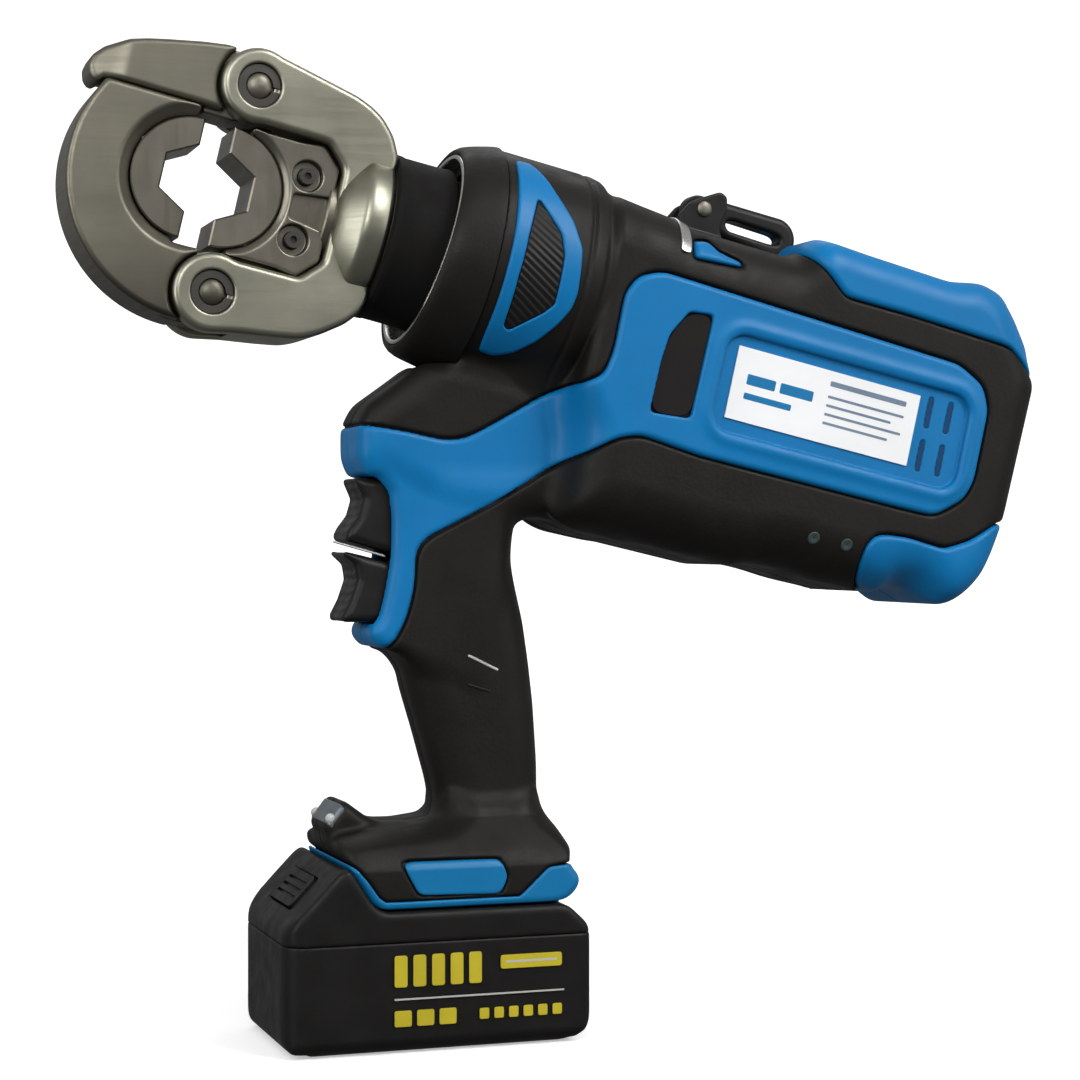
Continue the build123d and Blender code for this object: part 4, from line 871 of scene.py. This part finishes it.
def latch_piece():
    g = Grid((-54.0, 20.5, -15.0), (24.5, 54.5, 15.0), 0.45, True)
    U, V, Y = g.U, g.V, np.abs(g.Y)
    f = g.poly(LATCH, True, 0.5)
    rp = np.hypot(U - 10.0, V - 38.5)
    f = np.maximum(f, 14.4 + 0.8 * step(V, 42.0, 50.0) - rp)
    half = 13.5 - 4.5 * step(-f3(U), 36.0, 52.0)
    F = rmax(f3(f), Y - half, 2.2)
    tongue = np.minimum(rp - 12.3, g.poly([(-14, 27), (-7.2, 27), (-6.4, 25), (4, 25), (10, 26.2), (10, 50.8), (-8, 49.8)], True))
    F = rmin(F, rmax(f3(tongue), Y - 8.9, 0.9), 0.8)
    F = np.maximum(F, -(f3(rp) - 5.55))
    F = np.maximum(F, -np.maximum(f3(rp) - 9.4, Y - 3.6))
    form("latch_forging", g, F, STEEL, "latch", ("latch_lever",), False, 110000)


def nose_pieces():
    lathe("ring_bright", [(88.4, 35.5), (87.0, 35.6), (86.4, 35.9), (86.15, 36.4), (86.2, 36.95), (86.6, 37.4), (88.4, 36.85),
                           (90.0, 36.5), (92.5, 36.42), (92.5, 35.5)], RING,
          "tool", ("nose_ring",), lean=0.08)
    lathe("sleeve_turned", [(66.3, 28.05), (66.3, 30.0), (66.9, 30.9), (68.0, 31.2), (69.6, 31.1), (70.4, 30.8), (80, 30.9),
                            (86.5, 31.0), (87.3, 31.2), (88.6, 31.2), (89.1, 30.8), (89.1, 28.05)], SLEEVE, "head",
          ("neck_sleeve",))
    arc = [(88.7, 36.9), (87.4, 37.3), (86.5, 37.9), (86.2, 38.6), (86.6, 39.3), (88.0, 40.2), (90.3, 40.95), (93.0, 41.5),
           (95.9, 42.0), (99.5, 42.6), (102.4, 43.0)]
    lathe("collar_turned", [(92.6, 31.5), (92.6, 36.5), (90.0, 36.6)] + arc + [(103.7, 43.1), (103.95, 42.85), (103.95, 33.1),
                           (98.5, 33.1), (98.3, 31.5)], BLACK, "tool", ("nose_collar",), lean=0.08, swell=0.03)


BADGE_OUT = [(107.6, 37.2), (113.4, 37.8), (118.3, 33.2), (123.6, 26), (130, 18), (134.8, 8.5), (136.6, -8), (136, -14),
             (133, -20.5), (128, -27.6), (122, -33), (116, -35.5), (109.4, -35.2), (108.4, -28), (108.3, -18),
             (108.2, -4.8), (108.2, 9.5), (107.9, 25)]
BADGE_IN = [(116, 21.5), (121, 16), (125.4, 11), (127.6, 4), (128.5, -13.6), (125.6, -17.3), (116, -25.6), (114.4, -24.8),
            (113.9, -8), (114.5, 8)]


def badge_pieces():
    g = Grid((103.5, -38.5, 16.0), (139.0, 39.5, 44.2), 0.4, True)
    rad = np.sqrt(f3(g.V) ** 2 + g.Y ** 2) - crown(f3(g.U), f3(g.V))
    o, i = f3(g.poly(BADGE_OUT, True, 0.7)), f3(g.poly(BADGE_IN, True, 0.5)) - 0.7
    F = rmax(rad - 43.25, o, 0.9)
    F = rmax(F, -i + 0.15, 0.8)
    F = np.maximum(F, 41.2 - rad)
    rib = 0.18 * np.sin((f3(g.U) * 0.55 + f3(g.V)) * 2 * math.pi / 2.6)
    inner = np.maximum(np.maximum(rad - 42.5 - rib, i + 0.05), 41.2 - rad)
    for side, mirror in (("left", True), ("right", False)):
        reps = (("badge_frames",), ("badge_inlays",)) if mirror else ((), ())
        form("badge_frame_" + side, g, F.copy(), BLUE, "tool", reps[0], mirror, 40000)
        form("badge_inlay_" + side, g, inner.copy(), BLACK_P, "tool", reps[1], mirror, 30000)


# ---------------------------------------------------------------------------
# Hanging loop
# ---------------------------------------------------------------------------
def loop_pieces():
    g = Grid((182.5, 30.5, -6.0), (235.0, 53.5, 6.0), 0.35, True)
    Y = np.abs(g.Y)
    ax, az, ar, bx, bz, br = 190.5, 43.5, 6.3, 224.2, 41.2, 8.7
    L = math.hypot(bx - ax, bz - az)
    ex, ez = (bx - ax) / L, (bz - az) / L
    s = np.clip(((g.U - ax) * ex + (g.V - az) * ez) / L, 0, 1)
    hull = np.hypot(g.U - ax - s * L * ex, g.V - az - s * L * ez) - (ar + (br - ar) * s)
    slot = g.poly([(204.0, 39.0), (222.0, 38.6), (225.4, 39.2), (226.4, 41.0), (225.0, 42.6), (222.6, 43.0),
                   (205.2, 43.4), (202.6, 42.8), (202.0, 41.0)], True, 0.7)
    F = rmax(rmax(f3(hull), Y - 4.8, 3.0), -f3(slot), 1.6)
    F = np.maximum(F, -(f3(np.hypot(g.U - ax, g.V - az)) - 2.55))
    form("loop_link", g, F, BLACK_P, "loop", ("hanging_loop",), False, 50000)

    g = Grid((179.5, 30.0, -12.0), (206.0, 54.0, 12.0), 0.35, True)
    Y = np.abs(g.Y)
    cheek = rmax(f3(g.poly([(181.2, 30.5), (181.2, 39.0), (184.5, 44.8), (190, 48.6), (196.0, 52.2), (199.2, 50.8), (200.0, 46.0),
                            (198.4, 38), (203, 30.5)], True, 0.8)), np.abs(Y - 6.75) - 1.75, 0.9)
    base = rmax(f3(g.poly([(180.6, 31.0), (204.5, 31.0), (203, 34.0), (180.6, 34.0)], True, 0.4)), Y - 11.0, 0.9)
    F = rmin(cheek, base, 1.2)
    F = np.maximum(F, -(f3(np.hypot(g.U - 190.5, g.V - 43.5)) - 2.45))
    form("loop_lug", g, F, BLACK_P, "tool", ("loop_bracket",), False, 50000)
    prof = [(-9.9, 0.02), (-9.9, 1.2), (-9.7, 2.1), (-9.2, 2.9), (-8.55, 3.1), (-8.5, 2.45), (8.5, 2.45), (8.55, 3.1),
            (9.2, 2.9), (9.7, 2.1), (9.9, 1.2), (9.9, 0.02)]
    lathe("loop_pin", prof, STEEL, "tool", (), 64, (190.5, 43.5), "y")


def strap_pieces():
    """Bright strap over the shoulder in front of the loop's lug."""
    g = Grid((168.0, 12.0, 6.0), (184.0, 38.0, 42.0), 0.4, True)
    outer = outer_form(g)
    band = f3(sd_rrect(g.U, g.V, 175.6, 27.0, 4.6, 17.0, 1.6))
    F = rmax(np.maximum(outer - 0.9, -(outer + 0.6)), np.maximum(band, 9.0 - g.Y), 0.4)
    form("loop_strap_left", g, F.copy(), RING, "tool", (), True, 12000)
    form("loop_strap_right", g, F, RING, "tool", (), False, 12000)


# ---------------------------------------------------------------------------
# Triggers
# ---------------------------------------------------------------------------
TRIG_ADV = [(-6, 179.9), (-6, 207.6), (-25.2, 207.8), (-25.4, 206.6), (-22.5, 200), (-24.2, 194), (-27.7, 189.5),
            (-29.2, 186.4), (-28.6, 184.3), (-13, 179.9)]
TRIG_REL = [(-6, 154.3), (-6, 177.0), (-13, 177.0), (-29.6, 181.0), (-30.4, 179.5), (-25.9, 175.5), (-25, 170), (-27.6, 162.5),
            (-30.6, 156.8), (-30.2, 154.3)]


def trigger_pieces():
    for name, pts, node, body, zc in (("trigger_upper", TRIG_ADV, "trigger_advance", "trigger_advance", 195.1),
                                      ("trigger_lower", TRIG_REL, "trigger_release", "trigger_release", 168.8)):
        zs = [p[1] for p in pts]
        g = Grid((-33.5, min(zs) - 2, -14.0), (-4.5, max(zs) + 2, 14.0), 0.45)
        Y, Z = np.abs(g.Y), f3(g.Z)
        F = rmax(f3(g.poly(pts, False, 0.6)), Y - 12.4, 3.4)
        # shallow finger ribs across the face
        rib = 0.22 * np.cos((Z - min(zs)) * 2 * math.pi / 3.2) * step(-f3(g.X), 20.0, 24.0) * step(9.5 - Y, 0.0, 2.0)
        pocket = np.maximum(np.hypot(Z - zc, g.Y) - 4.5, -14.6 - f3(g.X))
        F = np.maximum(F + 0.2 + rib, -pocket)
        form(name, g, F, BLACK_P, body, (node,), False, 40000)
    # a thin pale strip on the -Y side only, sloping between the two triggers: a painted highlight on the lower
    # trigger's lip
    g = Grid((-36.0, 176.5, -13.2), (-8.0, 186.5, 13.2), 0.3)
    X = f3(g.X)
    fin = rmax(np.abs(X + 24.2) - 10.0 + 0 * g.Y, np.abs(g.Y) - 12.6, 1.5)
    F = rmax(np.abs(f3(g.Z) - 181.9 + 0.276 * (X + 25.7)) * 0.96 - 0.36, fin, 0.3)
    F = np.maximum(F, np.minimum(g.Y + 10.6, -14.0 - X))
    form("trigger_lip_painted_highlight", g, F, PALE_PRINT_AND_HIGHLIGHT, "tool", (), False, 12000)


# ---------------------------------------------------------------------------
# Battery pack
# ---------------------------------------------------------------------------
PACK_SIDE = [(-53.0, 0.05), (52.4, 0.05), (58.5, 7.6), (58.5, 41.5), (48.6, 50.9), (-21.4, 50.9), (-25.4, 53.8), (-32.4, 65.0),
             (-33.7, 68.2), (-35.3, 68.2), (-57.9, 44.6), (-57.9, 4.6)]
PACK_FRONT = [(-27.5, -5), (27.5, -5), (37.5, 5), (37.5, 66), (31, 76), (-31, 76), (-37.5, 66), (-37.5, 5)]


def pack_pieces():
    g = Grid((-60.0, -5.5, -39.5), (60.8, 75.5, 39.5), 0.8)
    X, Z, Y = f3(g.X), f3(g.Z), np.abs(g.Y)
    side = f3(g.poly(PACK_SIDE, False, 1.6))
    plan = sd_rrect(X, Y, 0.3, 0.0, 116.4, 75.0, 6.0 + 5.5 * step(-X, 0.0, 30.0))
    zz, yy = np.meshgrid(g.c, np.abs(g.y), indexing="ij")
    front = sd_poly(yy, zz, PACK_FRONT)[None, :, :]
    P = rmax(rmax(rmax(side, Y - 37.5, 1.2 + 1.8 * step(Z, 6.0, 24.0)), plan, 2.0), front, 2.0)
    P0 = P
    cavity = np.maximum(P0 + 2.5, Z - 50.0 + 0 * Y)
    shell = np.maximum(P, -cavity)
    rail = np.minimum(np.maximum(Y - 27.0, np.abs(Z - 56.0) - 2.0), np.maximum(Y - 22.0, np.abs(Z - 52.0) - 3.6))
    rail = np.maximum(rail, np.abs(X - 15.0) - 35.0)
    shell = np.minimum(shell, rail)
    slots = np.maximum(np.maximum(np.abs(X - 30.5) - 20.5, np.minimum(np.minimum(np.abs(Y - 10.0), Y), 99.0) - 2.5), 50.5 - Z)
    shell = np.maximum(shell, -slots)
    # release button's pocket on the front slope
    nx, nz = -0.7197, 0.6942
    dn = (X + 46.1) * nx + (Z - 56.3) * nz
    ds = (X + 46.1) * nz - (Z - 56.3) * nx
    pocket = np.maximum(np.maximum(np.abs(ds) - 7.3, Y - 17.3), np.maximum(dn - 6.0, -13.0 - dn))
    shell = rmax(shell, -pocket, 0.6)
    # screw holes from below
    hole = np.full((len(g.a), 1, len(g.y)), 1e6, np.float32)
    for sx in (-50.6, 50.6):
        hole = np.minimum(hole, np.hypot(X[:, :1, :] - sx, Y - 29.5))
    post = np.maximum(np.maximum(hole - 3.9, P0 + 0.5), Z - 46.0)
    shell = np.minimum(shell, post)
    shell = np.maximum(shell, -np.maximum(hole - 3.3, Z - 10.4))
    shell = np.maximum(shell, -np.maximum(hole - 1.75, Z - 46.0))
    low = np.maximum(shell, Z - 39.96)
    high = np.maximum(shell, 40.04 - Z)
    form("pack_case_lower", g, low, PACK, "battery", ("battery_base",), False, 150000)
    form("pack_case_upper", g, high, PACK, "battery", ("battery_cover",), False, 150000)


def print_pieces():
    """Generic charge-bar graphics on the pack and plain rules on the side plates."""
    def bar(x0, z0, x1, z1, r=0.6):
        return round_outline([(x0, z0), (x1, z0), (x1, z1), (x0, z1)], r, 3)
    bold = [bar(-18 + 7.0 * i, 24.2, -13.2 + 7.0 * i, 35.6, 1.0) for i in range(5)]
    small = [bar(-18 + 8.4 * i, 10.0, -11.6 + 8.4 * i, 15.8, 0.8) for i in range(3)]
    small += [bar(14 + 5.6 * i, 11.0, 17.6 + 5.6 * i, 15.0, 0.7) for i in range(6)]
    plates("pack_bars", bold + small + [bar(22, 28.8, 45.6, 33.8, 1.0)], 37.3, 37.62, YELLOW, "battery")
    plates("pack_rule", [bar(-18, 19.6, 46.5, 20.2, 0.2), bar(24.0, 30.9, 43.6, 31.7, 0.2)], 37.3, 37.66, PALE_PRINT_AND_HIGHLIGHT, "battery")
    # dark blue plates at the bottom of the vent slots: painted shade
    vent = [round_outline([(u - 1.1, v - 6.3), (u + 1.1, v - 6.3), (u + 1.1, v + 6.3), (u - 1.1, v + 6.3)], 1.0, 4) for u, v in VENTS]
    plates("vent_floors_painted_shade", vent, 38.1, 38.42, VENT_SHADE, "tool", (), True)
    blocks = [bar(210, -23.4, 222, -19.4, 0.6), bar(224, -23.4, 238, -19.4, 0.6), bar(210, -29.0, 230, -26.6, 0.5)]
    plates("plate_blocks", blocks, 39.3, 39.46, TEAL, "tool", (), True)
    rules = [bar(244, -15.6, 277, -13.6, 0.4)] + [bar(244, -20.2 - 3.4 * i, 277 - 5.0 * (i % 2), -19.2 - 3.4 * i, 0.3) for i in range(4)]
    plates("plate_rules", rules, 39.3, 39.46, RULE, "tool", (), True)


RAM = [(12, 23.8), (30, 23.8), (36, 24.6), (39.0, 24.9), (46.3, 17.6), (46.3, -17.6), (39.0, -24.9), (36, -24.6), (30, -23.8),
       (12, -23.8)]


def ram_piece():
    g = Grid((10.5, -25.5, -15.5), (48.5, 25.5, 15.5), 0.45, True)
    U, V, Y = g.U, g.V, np.abs(g.Y)
    rd = np.hypot(U - 5.5, V)
    f = np.maximum(g.poly(RAM, True, 0.6), 22.25 - rd)
    F = rmax(f3(f), Y - 14.0, 1.3)
    F = rmax(F, -(f3(rd) - (22.25 + 1.2 * np.maximum(Y - 11.6, 0.0))) * 0.62, 0.4)
    for side in (-1, 1):
        d = f3(np.hypot(U - 35.0, V - 12.0 * side))
        F = rmax(F, -np.maximum(d - 5.6, 10.6 - Y), 0.6)
        F = np.maximum(F, -(d - 3.02))
    # relief between the two screws, open to the rear
    web = f3(g.poly([(31.5, 4.6), (31.5, -4.6), (46, -6.5), (46, 6.5)], True, 0.6))
    F = rmax(F, -np.maximum(web, 11.4 - Y), 0.6)
    form("ram_cradle", g, F, STEEL_DIE, "ram", ("ram",), False, 80000)
    lathe("ram_rod", [(44.2, 0.02), (44.2, 16.4), (44.8, 17.0), (95.8, 17.0), (95.8, 23.0), (96.2, 23.3), (99.5, 23.3), (100, 22.0),
                      (104, 22.0), (104.5, 23.3), (109.6, 23.3), (110, 22.8), (110, 0.02)], STEEL, "ram")


def pin_pieces():
    prof = [(-17.3, 0.02), (-17.2, 1.6), (-16.9, 3.0), (-16.3, 4.2), (-15.4, 5.1), (-14.8, 5.4), (14.8, 5.4), (15.4, 5.1),
            (16.3, 4.2), (16.9, 3.0), (17.2, 1.6), (17.3, 0.02)]
    lathe("pin_upper", prof, STEEL, "head", ("hinge_pins",), 72, PINS[0], "y")
    lathe("pin_lower", prof, STEEL, "head", (), 72, PINS[1], "y")


def grip_marks():
    g = Grid((11.0, 126.0, 8.0), (31.0, 145.5, 21.0), 0.3)
    outer = outer_form(g)
    for n, mat, line in (("grip_mark", PALE_PRINT_AND_HIGHLIGHT, [(15.4, 142.0), (26.8, 136.6)]), ("grip_rib", BLACK_P, [(15.4, 131.2), (23.8, 128.6)])):
        F = np.maximum(rmax(outer - 0.25, f3(sd_line(g.X, g.Z, line)) - 0.5, 0.2), -(outer + 0.8))
        form(n + "_left", g, F.copy(), mat, "tool", (), True, 6000)
        form(n + "_right", g, F, mat, "tool", (), False, 6000)


def flank_caps():
    """Two small plugs low on each flank, tinted with a painted dim highlight."""
    g = Grid((142.0, 178.0, 20.0), (165.5, 190.5, 42.0), 0.3)
    outer = outer_form(g)
    d = np.full(g.U.shape, 1e6, np.float32)
    for u, v in ((250.7, -73.4), (264.6, -72.9)):
        d = np.minimum(d, np.hypot(g.U - u, g.V - v))
    d = f3(d)
    dish = 0.5 * np.exp(-(d / 1.1) ** 2)
    F = np.maximum(rmax(outer - 0.45 + dish, d - 2.4, 0.4), -(outer + 0.9))
    form("flank_caps_left", g, F.copy(), CAP_PAINTED_HIGHLIGHT, "tool", (), True, 8000)
    form("flank_caps_right", g, F, CAP_PAINTED_HIGHLIGHT, "tool", (), False, 8000)


def window_pieces():
    plates("window_panes", [round_outline(WINDOW_UV, 6.0, 6)], 37.95, 39.35, WINDOW, "tool", ("side_windows",), True)


black_shell()
blue_shell()
ram_piece()
pin_pieces()
grip_marks()
flank_caps()
window_pieces()
foot_trim()
yoke_piece()
hub_piece()
jaw_piece()
latch_piece()
nose_pieces()
badge_pieces()
loop_pieces()
strap_pieces()
trigger_pieces()
pack_pieces()
coil("ram_return_coil", (HX + 81.8 * ct, 0.0, HZ - 81.8 * st), (ct, 0.0, -st), 20.3, 1.5, 12.4, 3.6, "head",
     ("ram_return_spring",))
coil("button_coil", (-46.1 + 12.2 * 0.7197, 0.0, 56.3 - 12.2 * 0.6942), (-0.7197, 0.0, 0.6942), 3.4, 0.55, 6.5, 3.7, "battery",
     ("button_spring",))
coil("trigger_upper_coil", (-0.9, 0.0, 195.1), (-1.0, 0.0, 0.0), 3.2, 0.5, 12.4, 5.3, "tool",
     ("trigger_springs",))
coil("trigger_lower_coil", (-0.9, 0.0, 168.8), (-1.0, 0.0, 0.0), 3.2, 0.5, 12.4, 5.3, "tool",
     ("trigger_springs",))
print_pieces()

# ---------------------------------------------------------------------------
# Materials of the CAD nodes that stay
# ---------------------------------------------------------------------------
BY_SLOT = {
    "forged_steel": STEEL, "die_steel": STEEL_DIE, "pin_steel": STEEL_DARK, "spring_steel": WIRE, "bright_metal": CHROME,
    "black_rubber": BLACK, "blue_plastic": BLUE, "black_plastic": BLACK_P, "white_plate": WHITE, "smoked_window": WINDOW,
    "lens": LENS, "aluminium": ALU, "bronze": BRONZE, "gear_steel": GEAR, "copper": COPPER, "board_green": BOARD,
    "cell_wrap": WRAP, "lead_rubber": LEAD, "seal_rubber": SEAL,
}
for part in frame["record"]["subparts"]:
    node = NODES[part["node"]]
    node.data.materials.clear()
    node.data.materials.append(BY_SLOT[part["material_slot"]])
NODES["battery_button"].data.materials[0] = PACK
NODES["die_screws"].data.materials[0] = STEEL_DARK

# ---------------------------------------------------------------------------
# Floor, light, camera
# ---------------------------------------------------------------------------
mesh = bpy.data.meshes.new("floor")
N, R = 64, 14.0
mesh.from_pydata([(R * math.cos(2 * math.pi * i / N), R * math.sin(2 * math.pi * i / N), -0.0004) for i in range(N)], [],
                 [list(range(N))])
m = Tree("floor_pale")
m.color(m.ramp(m.noise(3.0, 2.0), [(0.3, (0.90, 0.90, 0.90)), (0.7, (0.92, 0.92, 0.92))]))
m.set(Roughness=0.9, Specular_IOR_Level=0.0, Emission_Color=(1, 1, 1, 1))
# the floor glows, more strongly away from the middle: painted light that keeps it white out to the horizon
far = m.t.nodes.new("ShaderNodeVectorMath")
far.operation = "LENGTH"
m.link(m.co, far.inputs[0])
m.link(m.range(far.outputs["Value"], 0.42, 1.0, 0.35, 2.2), m.p.inputs["Emission Strength"])
floor = new_object("floor", mesh, m.mat)

# pale backdrop all round, seen but not lighting the tool
rows, rim = [], 13.9
for j in range(9):
    a = math.pi / 2 * j / 9
    rows.append([(rim * math.cos(a) * math.cos(2 * math.pi * i / N), rim * math.cos(a) * math.sin(2 * math.pi * i / N),
                  rim * math.sin(a) - 0.01) for i in range(N)])
verts = [v for row in rows for v in row] + [(0.0, 0.0, rim)]
faces = [(j * N + i, j * N + (i + 1) % N, (j + 1) * N + (i + 1) % N, (j + 1) * N + i) for j in range(8) for i in range(N)]
faces += [(8 * N + i, 8 * N + (i + 1) % N, 9 * N) for i in range(N)]
mesh = bpy.data.meshes.new("backdrop")
mesh.from_pydata(verts, [], faces)
m = Tree("backdrop_pale")
m.color(m.ramp(m.noise(0.5, 2.0), [(0.3, (0.90, 0.90, 0.90)), (0.7, (0.92, 0.92, 0.92))]))
m.set(Roughness=1.0, Specular_IOR_Level=0.0, Emission_Color=(1, 1, 1, 1), Emission_Strength=1.0)
backdrop = new_object("backdrop", mesh, m.mat)
for ob in (floor, backdrop):
    ob.visible_diffuse = ob.visible_glossy = ob.visible_transmission = False
backdrop.visible_shadow = False

world = bpy.data.worlds.new("studio")
bpy.context.scene.world = world
world.use_nodes = True
wt = world.node_tree
wt.nodes.clear()
wo = wt.nodes.new("ShaderNodeOutputWorld")
wb = wt.nodes.new("ShaderNodeBackground")
wc = wt.nodes.new("ShaderNodeTexCoord")
ws = wt.nodes.new("ShaderNodeSeparateXYZ")
wt.links.new(wc.outputs["Generated"], ws.inputs[0])


def sky(axis, stops):
    r = wt.nodes.new("ShaderNodeMapRange")
    r.inputs["From Min"].default_value, r.inputs["From Max"].default_value = -1.0, 1.0
    c = wt.nodes.new("ShaderNodeValToRGB")
    e = c.color_ramp.elements
    while len(e) < len(stops):
        e.new(0.5)
    for el, (pos, v) in zip(e, stops):
        el.position, el.color = pos, (v, v, v, 1)
    wt.links.new(ws.outputs[axis], r.inputs["Value"])
    wt.links.new(r.outputs["Result"], c.inputs[0])
    return c.outputs[0]


wm = wt.nodes.new("ShaderNodeMix")
wm.data_type, wm.blend_type = "RGBA", "MULTIPLY"
wm.inputs[0].default_value = 1.0
wt.links.new(sky("Y", [(0.0, 0.40), (0.45, 0.34), (1.0, 0.24)]), wm.inputs[6])
wt.links.new(sky("Z", [(0.0, 0.35), (0.42, 0.6), (0.5, 1.0), (1.0, 1.3)]), wm.inputs[7])
wt.links.new(wm.outputs[2], wb.inputs["Color"])
wb.inputs["Strength"].default_value = 1.0
wt.links.new(wb.outputs[0], wo.inputs[0])


def area(name, loc, target, size, watts, size_y=None, spread=180.0):
    d = bpy.data.lights.new(name, "AREA")
    d.energy = watts
    d.size = size
    d.spread = math.radians(spread)
    if size_y:
        d.shape = "RECTANGLE"
        d.size_y = size_y
    ob = bpy.data.objects.new(name, d)
    bpy.context.scene.collection.objects.link(ob)
    ob.location = loc
    ob.rotation_mode = "QUATERNION"
    ob.rotation_quaternion = (Vector(target) - Vector(loc)).to_track_quat("-Z", "Y")
    return ob


area("key", (-0.45, -1.0, 0.75), (0.02, 0.0, 0.22), 0.6, 4.9, 0.5)
area("top", (0.66, -0.74, 0.98), (0.17, 0.0, 0.29), 0.7, 1.1, 0.8, 40.0)
area("fill", (0.95, -0.75, 0.45), (0.05, 0.0, 0.2), 0.6, 1.5)
area("left", (-1.12, -0.36, 0.54), (-0.03, 0.0, 0.30), 0.40, 5.2, 1.1)
area("rim", (0.25, 0.75, 1.20), (0.08, 0.0, 0.2), 0.9, 2.0, 0.5)

cam = bpy.data.cameras.new("camera")
cam.sensor_width = 36.0
cam.lens = 2420.0 / 1080.0 * 36.0
cam_ob = bpy.data.objects.new("camera", cam)
bpy.context.scene.collection.objects.link(cam_ob)
AZ = math.radians(-19.0)
back = Vector((math.sin(AZ), -math.cos(AZ), 0.0))
cam_ob.location = Vector((0.050, 0.0, 0.1848)) + back * 0.925
cam_ob.rotation_mode = "QUATERNION"
cam_ob.rotation_quaternion = (-back).to_track_quat("-Z", "Y")
cam.clip_start, cam.clip_end = 0.05, 60.0
bpy.context.scene.camera = cam_ob
bpy.context.scene.view_settings.view_transform = "Standard"
bpy.context.scene.view_settings.look = "None"
